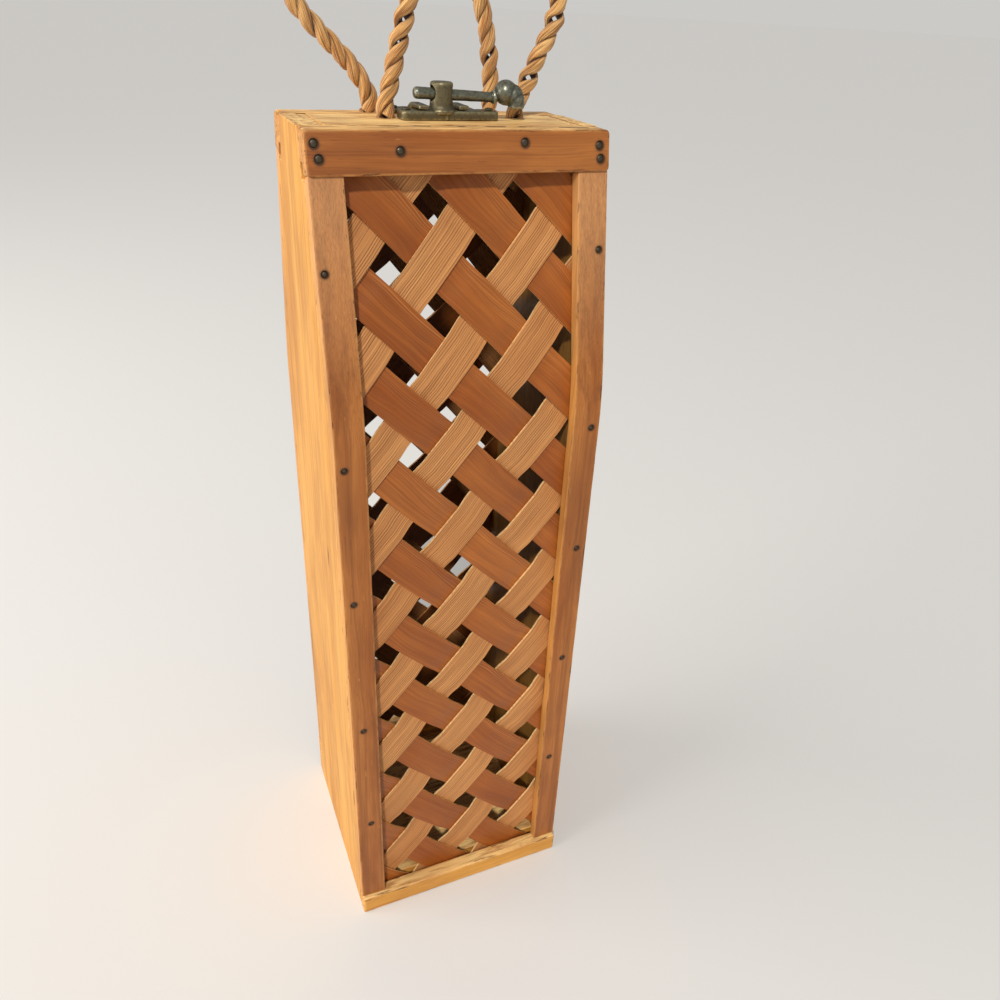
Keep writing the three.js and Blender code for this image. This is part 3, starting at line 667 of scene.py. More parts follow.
@dataclass(frozen=True)
class PanelFace:
    """The outer face of a panel: a lower line, an arc at the shoulder and an upper line.

    Distance runs up the face from its foot, and inset is measured square to it, into the case.
    """

    height: float = 370 * MM
    foot_depth: float = 98.8 * MM
    shoulder_depth: float = 86.4 * MM
    top_depth: float = 48.8 * MM
    shoulder_height: float = 275 * MM
    shoulder_radius: float = 165 * MM

    def _lines(self) -> tuple[Vector, Vector, Vector, Vector, float, float]:
        """The face's outline.

        Returns:
            The foot, the shoulder, the lower and the upper direction, where the arc starts and how far it turns.
        """
        foot = Vector((-self.foot_depth / 2, 0))
        shoulder = Vector((-self.shoulder_depth / 2, self.shoulder_height))
        top = Vector((-self.top_depth / 2, self.height))
        lower = (shoulder - foot).normalized()
        upper = (top - shoulder).normalized()
        turn = math.atan2(lower.y, lower.x) - math.atan2(upper.y, upper.x)
        start = (shoulder - foot).length - self.shoulder_radius * math.tan(turn / 2)
        return foot, shoulder, lower, upper, start, turn

    def along(self, distance: float) -> Vector:
        """The direction of the face in the YZ plane at a distance up it.

        Args:
            distance: How far up the face it is.

        Returns:
            Its Y and Z.
        """
        _, _, lower, _, start, turn = self._lines()
        angle = min(max((distance - start) / self.shoulder_radius, 0), turn)
        base = math.atan2(lower.y, lower.x)
        return Vector((math.cos(base - angle), math.sin(base - angle)))

    def at(self, distance: float, inset: float) -> Vector:
        """A point of the face.

        Args:
            distance: How far up the face it is.
            inset: How far inside the face it lies.

        Returns:
            Its Y and Z.
        """
        foot, shoulder, lower, upper, start, turn = self._lines()
        tangent = self.shoulder_radius * math.tan(turn / 2)
        end = start + self.shoulder_radius * turn
        way = self.along(distance)
        if distance <= start:
            point = foot + lower * distance
        elif distance >= end:
            point = shoulder + upper * (tangent + distance - end)
        else:
            centre = foot + lower * start + Vector((lower.y, -lower.x)) * self.shoulder_radius
            point = centre - Vector((way.y, -way.x)) * self.shoulder_radius
        return point + Vector((way.y, -way.x)) * inset

    def distance_at(self, height: float, inset: float = 0.0) -> float:
        """Where the face reaches a height.

        Args:
            height: The height.
            inset: How far inside the face it is measured.

        Returns:
            The distance up the face.
        """
        _, _, _, _, start, turn = self._lines()
        base = start + self.shoulder_radius * turn if height > self.shoulder_height else 0.0
        return base + (height - self.at(base, inset).y) / self.along(base).y

    def outward(self, x: float, height: float, proud: float) -> Matrix:
        """A place on the front face.

        Args:
            x: Its X.
            height: Its height.
            proud: How far in front of the face it lies.

        Returns:
            A matrix whose Z axis points out of the face.
        """
        distance = self.distance_at(height)
        spot = self.at(distance, -proud)
        way = self.along(distance)
        out = Vector((0, -way.y, way.x))
        up = Vector((0, way.x, way.y))
        turn = Matrix((up.cross(out), up, out)).transposed().to_4x4()
        return Matrix.Translation((x, spot.x, spot.y)) @ turn


FACE = PanelFace()
TURNED = Matrix.Rotation(math.pi, 4, "Z")
LYING = Matrix.Rotation(math.pi / 2, 4, "Y")


def merged(bm: Mesh) -> Mesh:
    """Cleans a new mesh.

    Args:
        bm: The mesh.

    Returns:
        The same mesh, its doubled vertices merged and its faces pointing outwards.
    """
    bmesh.ops.remove_doubles(bm, verts=bm.verts, dist=MERGE_DISTANCE)
    bmesh.ops.recalc_face_normals(bm, faces=bm.faces)
    return bm


def copy_of(node: str, turn: Matrix | None = None) -> Mesh:
    """A clean copy of a frame node's mesh.

    Args:
        node: The node's name.
        turn: A matrix that moves the copy.

    Returns:
        The copy with doubles merged and flat faces joined.
    """
    bm = bmesh.new()
    bm.from_mesh(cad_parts[node].data)
    bmesh.ops.remove_doubles(bm, verts=bm.verts, dist=MERGE_DISTANCE)
    bmesh.ops.dissolve_limit(bm, angle_limit=FLAT_ANGLE, verts=bm.verts, edges=bm.edges)
    if turn is not None:
        bmesh.ops.transform(bm, matrix=turn, verts=bm.verts)
    return bm


def is_sharp(edge: bmesh.types.BMEdge, angle: float = SHARP_ANGLE) -> bool:
    """Whether an edge's two faces meet at more than an angle."""
    return len(edge.link_faces) == 2 and edge.calc_face_angle(0) > angle


def rounded(bm: Mesh, edges: Sequence[bmesh.types.BMEdge], radius: float, segments: int,
            clamped: bool = False) -> list[bmesh.types.BMFace]:
    """Rounds edges.

    Args:
        bm: The mesh.
        edges: The edges.
        radius: The rounding.
        segments: Steps of the rounding.
        clamped: Whether roundings stop where they would meet.

    Returns:
        The faces of the roundings.
    """
    made = bmesh.ops.bevel(bm, geom=edges, offset=radius, affect="EDGES", segments=segments, profile=0.5,
                           material=-1, clamp_overlap=clamped)
    return made["faces"]


def soften(bm: Mesh, radius: float, segments: int) -> set[bmesh.types.BMFace]:
    """Rounds every sharp edge that stands out.

    Args:
        bm: The mesh.
        radius: The rounding.
        segments: Steps of the rounding.

    Returns:
        The faces of the roundings.
    """
    edges = [edge for edge in bm.edges if is_sharp(edge) and edge.is_convex]
    return set(rounded(bm, edges, radius, segments, clamped=True))


def regions(bm: Mesh, left_out: set[bmesh.types.BMFace]) -> list[list[bmesh.types.BMFace]]:
    """Groups of faces that join smoothly, without those left out.

    Args:
        bm: The mesh.
        left_out: The faces that belong to no group.

    Returns:
        The groups.
    """
    rest = set(bm.faces) - left_out
    groups = []
    while rest:
        queue = [rest.pop()]
        group = []
        while queue:
            face = queue.pop()
            group.append(face)
            for edge in face.edges:
                for other in edge.link_faces:
                    if other in rest and not is_sharp(edge):
                        rest.discard(other)
                        queue.append(other)
        groups.append(group)
    return groups


def slice_at(bm: Mesh, spot: Vector, normal: Sequence[float], cleared: bool = False) -> None:
    """Cuts a mesh along a plane.

    Args:
        bm: The mesh.
        spot: A point of the plane.
        normal: The plane's direction.
        cleared: Whether what lies beyond the plane is taken away.
    """
    bmesh.ops.bisect_plane(bm, geom=[*bm.verts, *bm.edges, *bm.faces], dist=MERGE_DISTANCE, plane_co=spot,
                           plane_no=normal, clear_outer=cleared)


def closed(bm: Mesh) -> Mesh:
    """Closes a mesh.

    Args:
        bm: The mesh with open rims.

    Returns:
        The same mesh, its rims filled and its faces pointing outwards.
    """
    bmesh.ops.holes_fill(bm, edges=[edge for edge in bm.edges if edge.is_boundary], sides=0)
    bmesh.ops.recalc_face_normals(bm, faces=bm.faces)
    return bm


def cut_through(bm: Mesh, axis: int, step: float) -> None:
    """Cuts a mesh into slices across one axis.

    Args:
        bm: The mesh.
        axis: 0, 1 or 2.
        step: The slices' thickness.
    """
    low = min(vert.co[axis] for vert in bm.verts)
    high = max(vert.co[axis] for vert in bm.verts)
    normal = Vector((0, 0, 0))
    normal[axis] = 1
    count = max(2, round((high - low) / step))
    for i in range(1, count):
        slice_at(bm, normal * (low + i * (high - low) / count), normal)


def added(name: str, data: bpy.types.ID) -> Piece:
    """Puts a new object into the scene.

    Args:
        name: The object's name.
        data: Its mesh, light or camera.

    Returns:
        The object.
    """
    made = bpy.data.objects.new(name, data)
    bpy.context.scene.collection.objects.link(made)
    return made


def dress(bm: Mesh, name: str, finish: Material) -> Piece:
    """Makes an object of a mesh, smooth where its faces nearly agree.

    Args:
        bm: The mesh, which is freed.
        name: The piece's name.
        finish: Its material.

    Returns:
        The object, at the origin.
    """
    for face in bm.faces:
        face.smooth = True
    for edge in bm.edges:
        edge.smooth = not is_sharp(edge, SMOOTH_ANGLE)
    mesh = bpy.data.meshes.new(name)
    bm.to_mesh(mesh)
    bm.free()
    mesh.materials.append(finish)
    return added(name, mesh)


def applied(piece: Piece) -> Piece:
    """Bakes a piece's modifiers into its mesh.

    Args:
        piece: The piece.

    Returns:
        The same piece.
    """
    graph = bpy.context.evaluated_depsgraph_get()
    mesh = bpy.data.meshes.new_from_object(piece.evaluated_get(graph))
    piece.modifiers.clear()
    piece.data = mesh
    return piece


class Join(str, Enum):
    """How one shape is put together with another."""

    ADD = "UNION"
    CUT = "DIFFERENCE"


def combine(piece: Piece, shape: Mesh, how: Join) -> None:
    """Adds a shape to a piece or cuts it out.

    Args:
        piece: The piece.
        shape: The shape, which is freed.
        how: Whether it is added or cut.

    Raises:
        ValueError: Nothing is left of the piece.
    """
    mesh = bpy.data.meshes.new("shape")
    shape.to_mesh(mesh)
    shape.free()
    tool = added("shape", mesh)
    modifier = piece.modifiers.new("joint", "BOOLEAN")
    modifier.operation = how.value
    modifier.solver = "EXACT"
    modifier.object = tool
    applied(piece)
    bpy.data.objects.remove(tool)
    if not piece.data.polygons:
        raise ValueError(f"{piece.name} is empty")
    bm = bmesh.new()
    bm.from_mesh(piece.data)
    for edge in bm.edges:
        edge.smooth = not is_sharp(edge, SMOOTH_ANGLE)
    bm.to_mesh(piece.data)
    bm.free()


def place(piece: Piece, body: Body, slot: Slot, *nodes: str) -> Piece:
    """Fixes a finished piece to its body.

    Args:
        piece: The piece.
        body: The body that it rides on.
        slot: The record's slot of its finish; not used.
        *nodes: The frame nodes that it stands for.

    Returns:
        The piece.
    """
    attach(piece, body.value)
    if nodes:
        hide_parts(*nodes)
    log.info("%s: %d faces, on %s", piece.name, len(piece.data.polygons), body.value)
    return piece


def lathe(profile: Sequence[Pair], matrix: Matrix, steps: int = 32) -> Mesh:
    """Turns a profile round its axis.

    Args:
        profile: Radius and height of each point, from one end on the axis to the other.
        matrix: Where the turned piece goes; its axis is Z.
        steps: Steps of the turn.

    Returns:
        The closed mesh.
    """
    bm = bmesh.new()
    verts = [bm.verts.new((radius, 0, height)) for radius, height in profile]
    edges = [bm.edges.new(pair) for pair in zip(verts, verts[1:])]
    bmesh.ops.spin(bm, geom=[*verts, *edges], cent=(0, 0, 0), axis=(0, 0, 1), angle=TURN, steps=steps,
                   use_merge=True)
    merged(bm)
    bmesh.ops.transform(bm, matrix=matrix, verts=bm.verts)
    return bm


def absorb(target: Mesh, part: Mesh) -> None:
    """Adds one mesh to another and frees it.

    Args:
        target: The mesh that grows.
        part: The other one.
    """
    mesh = bpy.data.meshes.new("part")
    part.to_mesh(mesh)
    part.free()
    target.from_mesh(mesh)
    bpy.data.meshes.remove(mesh)


def rod(radius: float, depth: float, matrix: Matrix, segments: int = 32) -> Mesh:
    """A plain cylinder.

    Args:
        radius: Its radius.
        depth: Its length.
        matrix: Where it goes; it is centred, with its axis along Z.
        segments: Steps round it.

    Returns:
        The closed mesh.
    """
    bm = bmesh.new()
    bmesh.ops.create_cone(bm, cap_ends=True, segments=segments, radius1=radius, radius2=radius, depth=depth,
                          matrix=matrix)
    return bm


@dataclass(frozen=True)
class Nail:
    """A nail's head in its small sunk hole."""

    head: float = 1.25 * MM
    dome: float = 0.35 * MM
    sunk: float = 0.45 * MM
    clearance: float = 0.33 * MM
    hole_depth: float = 0.75 * MM
    cutter_above: float = 0.4 * MM

    def head_mesh(self, matrix: Matrix) -> Mesh:
        """The head, a shallow dome with a rounded rim.

        Args:
            matrix: Its place, with Z out of the wood.

        Returns:
            The closed mesh.
        """
        r = self.head
        profile = [(0, -self.hole_depth), (r * 0.6, -self.hole_depth), (r, -self.sunk - self.dome * 0.6),
                   (r * 0.97, -self.sunk), (r * 0.7, -self.sunk + self.dome * 0.6),
                   (r * 0.35, -self.sunk + self.dome * 0.9), (0, -self.sunk + self.dome)]
        return lathe(profile, matrix, 20)

    def hole_mesh(self, matrix: Matrix) -> Mesh:
        """The hole's cutter, a little wider at its mouth.

        Args:
            matrix: Its place, with Z out of the wood.

        Returns:
            The closed mesh.
        """
        bm = bmesh.new()
        middle = Matrix.Translation((0, 0, (self.cutter_above - self.hole_depth) / 2))
        bmesh.ops.create_cone(bm, cap_ends=True, segments=24, radius1=self.head,
                              radius2=self.head + self.clearance, depth=self.hole_depth + self.cutter_above,
                              matrix=matrix @ middle)
        return bm


@dataclass(frozen=True)
class Plank:
    """One wooden piece of the case or of the door: what it copies, and how it is worn."""

    node: str
    body: Body
    slot: Slot
    grain: Grain
    radius: float
    corner: float = 0.0
    corner_angle: float = math.radians(60)
    source: str | None = None
    hull: bool = False
    slice_axis: int = 2
    slice_step: float = 6 * MM
    wobble: float = 0.12 * MM
    dents_per_metre: float = 130
    fine_dents_per_metre: float = 420
    least_turn: float = math.radians(4)
    worn_turn: float = math.radians(9)
    rim_width: float = 0.6 * MM
    smallest_region: float = 60e-6
    tucked: float = 0.0

    def outline(self) -> Mesh:
        """The plain solid before it is worn.

        Returns:
            The mesh.
        """
        if self.source is not None:
            return copy_of(self.source, TURNED)
        bm = copy_of(self.node)
        if self.hull:
            made = bmesh.ops.convex_hull(bm, input=bm.verts)
            spare = [*made["geom_interior"], *made["geom_unused"]]
            bmesh.ops.delete(bm, geom=[item for item in set(spare) if isinstance(item, bmesh.types.BMVert)],
                             context="VERTS")
            bmesh.ops.dissolve_limit(bm, angle_limit=FLAT_ANGLE, verts=bm.verts, edges=bm.edges)
        return bm

    def build(self, finish: Material, nail: Nail, nails: Sequence[Matrix], bores: Sequence[tuple]) -> Piece:
        """Builds the piece with rounded, slightly uneven edges.

        Args:
            finish: Its material.
            nail: The nails that hold it.
            nails: The places of its nails, with Z out of its face.
            bores: The places of round holes, each a matrix, a radius and a depth.

        Returns:
            The finished piece.
        """
        bm = self.outline()
        if self.tucked:
            self._tuck(bm)
        if self.corner:
            self._round_corners(bm)
        rims = soften(bm, self.radius, 3)
        for group in regions(bm, rims):
            if sum(face.calc_area() for face in group) > self.smallest_region:
                bmesh.ops.inset_region(bm, faces=group, thickness=self.rim_width, use_boundary=True,
                                       use_even_offset=True)
        cut_through(bm, self.slice_axis, self.slice_step)
        self._wear(bm)
        piece = dress(bm, self.node + "_wood", finish)
        if nails or bores:
            cutter = bmesh.new()
            for matrix in nails:
                absorb(cutter, nail.hole_mesh(matrix))
            for matrix, radius, depth in bores:
                absorb(cutter, rod(radius, depth, matrix))
            # The sunk attribute marks the holes' walls for painted shade in the wood's material.
            sunk = cutter.verts.layers.float.new("sunk")
            for vert in cutter.verts:
                vert[sunk] = 1.0
            combine(piece, cutter, Join.CUT)
        return place(piece, self.body, self.slot, self.node)

    def _tuck(self, bm: Mesh) -> None:
        """Draws the piece's top out, to where the rail above it hides the end.

        Args:
            bm: The piece's mesh.
        """
        top = max(vert.co.z for vert in bm.verts)
        for vert in bm.verts:
            if vert.co.z > top - self.radius:
                vert.co.z += self.tucked

    def _round_corners(self, bm: Mesh) -> None:
        """Rounds the corners that are seen from the panel's front, through the piece's thickness.

        Args:
            bm: The piece's mesh.
        """
        edges = []
        for edge in bm.edges:
            way = (edge.verts[1].co - edge.verts[0].co).normalized()
            if abs(way.y) > 0.8 and is_sharp(edge, self.corner_angle) and edge.is_convex:
                edges.append(edge)
        rounded(bm, edges, self.corner, 4, clamped=True)

    def _wear(self, bm: Mesh) -> None:
        """Marks the rounded edges as worn and dents them a little.

        Args:
            bm: The piece's mesh.
        """
        layer = bm.verts.layers.float.new("wear")
        bm.verts.layers.float.new("sunk")
        bm.normal_update()
        for vert in bm.verts:
            normals = [face.normal for face in vert.link_faces]
            turn = max((normals[0].angle(normal, 0) for normal in normals), default=0)
            vert[layer] = min(1.0, turn / self.worn_turn) if turn > self.least_turn else 0.0
        for vert in bm.verts:
            if vert[layer] > 0:
                dent = noise.noise(vert.co * self.dents_per_metre)
                dent += 0.5 * noise.noise(vert.co * self.fine_dents_per_metre)
                vert.co -= vert.normal * self.wobble * abs(dent) * vert[layer]


@dataclass
class Frame:
    """The boards, rails, battens and stiles, with their nails."""

    top_rail_proud: float = 1 * MM
    rear_shift: float = 0.6 * MM
    tucked: float = 0.8 * MM
    board_edge: float = 0.5 * MM
    top_board_edge: float = 0.4 * MM
    foot_edge: float = 0.9 * MM
    batten_edge: float = 0.45 * MM
    rail_edge: float = 0.7 * MM
    rail_corner: float = 1.5 * MM
    rail_nails: tuple[Pair, ...] = (
        (-51.4, 366.0), (-50.2, 361.5), (-23.3, 363.6), (21.3, 365.9), (50.5, 364.9), (51.0, 360.6))
    left_nails: tuple[Pair, ...] = ((-51.7, 327.0), (-51.0, 258.0), (-50.3, 197.0), (-49.2, 126.5), (-48.0, 64.5))
    right_nails: tuple[Pair, ...] = ((51.4, 329.7), (50.8, 261.0), (50.0, 202.5), (48.5, 140.0), (47.0, 73.5))
    rope_bore: float = 3.45 * MM
    rail_nail: Nail = Nail()
    batten_nail: Nail = Nail(head=1 * MM, sunk=0.5 * MM)

    def planks(self) -> list[Plank]:
        """Lists the wooden pieces.

        Returns:
            The pieces in the order in which they are built.
        """
        case, door = Body.CASE, Body.DOOR
        wood, stained = Slot.SOFTWOOD, Slot.FRAME
        up, across = Grain.UPRIGHT, Grain.ACROSS
        sides = ("left", "right")
        upright = [Plank(f"{side}_side_board", case, wood, up, self.board_edge) for side in sides]
        held = {"radius": self.batten_edge, "tucked": self.tucked}
        upright += [Plank(f"front_{side}_batten", case, stained, up, **held) for side in sides]
        upright += [Plank(f"door_{side}_stile", door, stained, up, **held) for side in sides]
        flat = {"slice_axis": 0}
        rail = {"radius": self.rail_edge, "corner": self.rail_corner, **flat}
        return [
            *upright,
            Plank("bottom_board", case, wood, across, self.board_edge, **flat),
            Plank("top_board", case, wood, across, self.top_board_edge, hull=True, **flat),
            Plank("front_foot_rail", case, wood, across, self.foot_edge, **flat),
            Plank("rear_foot_rail", case, wood, across, self.foot_edge, **flat),
            Plank("door_foot_rail", door, wood, across, self.foot_edge, **flat),
            Plank("front_top_rail", case, stained, across, **rail),
            Plank("door_top_rail", door, stained, across, source="front_top_rail", **rail),
        ]

    def nails(self) -> dict[str, list[Matrix]]:
        """Places the nails.

        Returns:
            Their places by the node that they are driven into.
        """
        def spots(pairs: Iterable[Pair], proud: float) -> list[Matrix]:
            """Turns places in millimetres into matrices on the front face."""
            return [FACE.outward(x * MM, z * MM, proud) for x, z in pairs]

        front = {
            "front_top_rail": spots(self.rail_nails, self.top_rail_proud),
            "front_left_batten": spots(self.left_nails, 0),
            "front_right_batten": spots(self.right_nails, 0),
        }
        moved = Matrix.Translation((self.rear_shift, 0, 0))
        rear = {
            "door_top_rail": [TURNED @ moved @ m for m in front["front_top_rail"]],
            "door_right_stile": [TURNED @ moved @ m for m in front["front_left_batten"]],
            "door_left_stile": [TURNED @ moved @ m for m in front["front_right_batten"]],
        }
        return {**front, **rear}

    def build(self, finishes: dict, iron: Material, ropes: "Handles") -> None:
        """Builds every wooden piece and the nail heads.

        Args:
            finishes: Materials by slot and grain.
            iron: The nails' material.
            ropes: The handles, for the holes that they pass through.
        """
        nails = self.nails()
        bores = {"top_board": ropes.bores(ropes.front, self.rope_bore),
                 "door_top_rail": ropes.bores(ropes.rear, self.rope_bore)}
        for plank in self.planks():
            spots = nails.get(plank.node, [])
            finish = finishes[plank.slot, plank.grain]
            nail = self.rail_nail if plank.node.endswith("rail") else self.batten_nail
            plank.build(finish, nail, spots, bores.get(plank.node, []))
            if spots:
                heads = bmesh.new()
                for matrix in spots:
                    absorb(heads, nail.head_mesh(matrix))
                name = plank.node + "_nails"
                place(dress(heads, name, iron), plank.body, Slot.BRASS)


@dataclass(frozen=True)
class Strips:
    """One family of woven strips, laid out by how many stand side by side over the panel.

    The counts are over the case's width and over the height of the panel's face.
    """

    width: float
    across_count: float
    up_count: float
    rising: bool

    @property
    def step_up(self) -> float:
        """How far up the face the next strip's middle line is."""
        return FACE.distance_at(FACE.height) / self.up_count

    @property
    def pitch(self) -> float:
        """The distance between neighbouring middle lines."""
        return self.step_up * self.along.x

    @property
    def along(self) -> Vector:
        """The direction of the strips."""
        step_across = CASE_WIDTH / self.across_count
        return Vector((step_across, self.step_up if self.rising else -self.step_up)).normalized()

    @property
    def across(self) -> Vector:
        """The direction from one strip to the next."""
        return Vector((-self.along.y, self.along.x))


@dataclass
class WovenPanel:
    """A woven panel: falling and rising strips, plain over and under, tucked behind its frame."""

    title: str
    body: Body
    foot: float
    turned: bool
    nodes: Callable[[bool, int], str | None]
    falling: Strips = Strips(16 * MM, 3.155, 10.61, False)
    rising: Strips = Strips(14.4 * MM, 3.273, 9.469, True)
    opening_across: float = -0.1073
    opening_below_top: float = 0.0635
    half_width: float = 48.5 * MM
    tuck_under_rail: float = 4 * MM
    rail_height: float = 14 * MM
    outer: float = 5.3 * MM
    thickness: float = 1 * MM
    layer_gap: float = 0.15 * MM
    shortest: float = 16 * MM
    index_range: int = 24
    step: float = 1.5 * MM
    columns: int = 7
    rim: float = 0.16 * MM
    spread: float = 0.35 * MM
    ripple: float = 0.05 * MM
    ripples_per_metre: Pair = (60, 90)
    map_apart: Pair = (0.37, 0.053)
    map_turned: float = 0.11
    seed: int = 11

    def start(self, family: Strips) -> float:
        """The middle line of strip 0 of a family, measured across the family."""
        anchor = Vector((self.opening_across * CASE_WIDTH, (1 - self.opening_below_top) * self.length))
        return anchor.dot(family.across) + family.pitch / 2

    @property
    def length(self) -> float:
        """The length of the panel's face, from its foot to its top."""
        return FACE.distance_at(FACE.height)

    @property
    def top(self) -> float:
        """How far up the face the strips reach."""
        return self.length - self.rail_height + self.tuck_under_rail

    def depth(self, family: Strips, index: int) -> Callable[[float], float]:
        """How deep a strip lies along its length.

        Args:
            family: The strip's family.
            index: Its place in the family.

        Returns:
            A function of the distance along the strip, which steps smoothly between the two layers.
        """
        other = self.rising if family is self.falling else self.falling
        line = self.start(family) + index * family.pitch
        spread = family.along.dot(other.across)
        lean = family.across.dot(other.across)
        flat_half = (other.width / abs(spread) + family.width * abs(lean / spread)) / 2
        layer = self.thickness + self.layer_gap
        stops = []
        for k in range(-self.index_range, self.index_range + 1):
            t = (self.start(other) + k * other.pitch - line * lean) / spread
            inner = ((index + k) % 2 == 0) != family.rising
            stops += [(t - flat_half, inner), (t + flat_half, inner)]
        stops.sort()

        def value(t: float) -> float:
            """The depth at one place.

            Args:
                t: How far along the strip it is.

            Returns:
                The depth below the face.
            """
            for (t0, inner0), (t1, inner1) in zip(stops, stops[1:]):
                if t0 <= t <= t1:
                    share = (t - t0) / max(t1 - t0, MERGE_DISTANCE)
                    share = share * share * (3 - 2 * share)
                    return self.outer + layer * (inner0 + (inner1 - inner0) * share)
            return self.outer

        return value

    def strip(self, family: Strips, index: int, chance: random.Random) -> Mesh:
        """One strip, made flat and laid on the face.

        Args:
            family: The strip's family.
            index: Its place in the family.
            chance: The source of small differences between strips.

        Returns:
            The closed mesh with its UV map in metres.
        """
        depth = self.depth(family, index)
        line = self.start(family) + index * family.pitch
        base = family.across * line
        low, high = self._reach(family, base)
        width = family.width + chance.uniform(-1, 1) * self.spread
        shift = chance.uniform(-1, 1) * self.spread
        tilt = chance.uniform(-1, 1) * self.spread / self.half_width
        rows = round((high - low) / self.step)
        bm = bmesh.new()
        bmesh.ops.create_grid(bm, x_segments=rows, y_segments=self.columns, size=0.5)
        sides = bm.verts.layers.float.new("side")
        inner = bm.verts.layers.float.new("inner")
        along_count, across_count = self.ripples_per_metre
        for vert in bm.verts:
            vert[sides] = vert.co.y + 0.5
            t = low + (vert.co.x + 0.5) * (high - low)
            side = vert.co.y * width + shift + tilt * t
            spot = base + family.along * t + family.across * side
            ripple = self.ripple * noise.noise(Vector((t * along_count, side * across_count, index)))
            vert.co = (spot.x, depth(t) + ripple, spot.y)
        for normal, limit in (((1, 0, 0), self.half_width), ((-1, 0, 0), self.half_width),
                              ((0, 0, 1), self.top), ((0, 0, -1), -self.foot)):
            slice_at(bm, Vector(normal) * limit, normal, cleared=True)
        thick = bmesh.ops.extrude_face_region(bm, geom=bm.faces[:])
        back = [item for item in thick["geom"] if isinstance(item, bmesh.types.BMVert)]
        # The inner attribute marks the back face for painted shade.
        for vert in back:
            vert[inner] = 1.0
        bmesh.ops.translate(bm, verts=back, vec=(0, self.thickness, 0))
        bmesh.ops.recalc_face_normals(bm, faces=bm.faces)
        self._soften_rim(bm)
        self._map(bm, family, line, index)
        for vert in bm.verts:
            spot = FACE.at(vert.co.z, vert.co.y)
            vert.co = (vert.co.x, spot.x, spot.y)
        bmesh.ops.recalc_face_normals(bm, faces=bm.faces)
        if self.turned:
            bmesh.ops.transform(bm, matrix=TURNED, verts=bm.verts)
        return bm

    def _reach(self, family: Strips, base: Vector) -> Pair:
        """How far a strip's middle line runs across the panel.

        Args:
            family: The strip's family.
            base: The point of the line that is nearest to the origin.

        Returns:
            Where it starts and ends, with a little to cut off.
        """
        reach = self.half_width / abs(family.along.x)
        centre = -base.x / family.along.x
        rise = family.along.y
        ends = sorted(((self.foot - base.y) / rise, (self.top - base.y) / rise))
        spare = family.width
        return max(centre - reach, ends[0]) - spare, min(centre + reach, ends[1]) + spare

    def _soften_rim(self, bm: Mesh) -> None:
        """Rounds the strip's cut edges and marks its sides.

        Args:
            bm: The flat strip.
        """
        soften(bm, self.rim, 1)
        # The rim attribute marks the cut edges for the paler edge colour: raw wood with a painted highlight.
        layer = bm.verts.layers.float.new("rim")
        bm.normal_update()
        for face in bm.faces:
            if abs(face.normal.y) < 0.5:
                for vert in face.verts:
                    vert[layer] = 1.0

    def _map(self, bm: Mesh, family: Strips, line: float, index: int) -> None:
        """Gives the flat strip a UV map in metres, along and across it, apart from other strips'.

        Args:
            bm: The strip.
            family: Its family.
            line: Its middle line, measured across the family.
            index: Its place in the family.
        """
        uv = bm.loops.layers.uv.new("UVMap")
        apart_along, apart_across = self.map_apart
        apart = apart_along * (index + self.index_range) + (self.map_turned if self.turned else 0)
        for face in bm.faces:
            for loop in face.loops:
                spot = Vector((loop.vert.co.x, loop.vert.co.z))
                across = spot.dot(family.across) - line
                loop[uv].uv = (spot.dot(family.along) + apart, across + apart_across * index)

    def indices(self, family: Strips) -> list[int]:
        """Finds the strips of a family that cross the panel far enough to be held.

        Args:
            family: The family.

        Returns:
            Their places in the family, from the panel's foot upwards.
        """
        found = []
        for index in range(-self.index_range, self.index_range + 1):
            middle = (self.start(family) + index * family.pitch) / family.across.y
            climb = abs(family.along.y / family.along.x) * self.half_width
            low, high = max(middle - climb, self.foot), min(middle + climb, self.top)
            if (high - low) / abs(family.along.y) >= self.shortest:
                found.append(index)
        return found

    def build(self, finishes: dict[bool, Material]) -> None:
        """Builds the panel's strips, one piece for each.

        Args:
            finishes: The materials of the falling (False) and the rising (True) strips.
        """
        chance = random.Random(self.seed)
        for family in (self.falling, self.rising):
            slot = Slot.RIDGED if family.rising else Slot.SMOOTH
            for count, index in enumerate(self.indices(family), 1):
                way = "rising" if family.rising else "falling"
                name = f"{self.title}_{way}_veneer_{count}"
                piece = dress(self.strip(family, index, chance), name, finishes[family.rising])
                node = self.nodes(family.rising, count)
                place(piece, self.body, slot, *([node] if node else []))


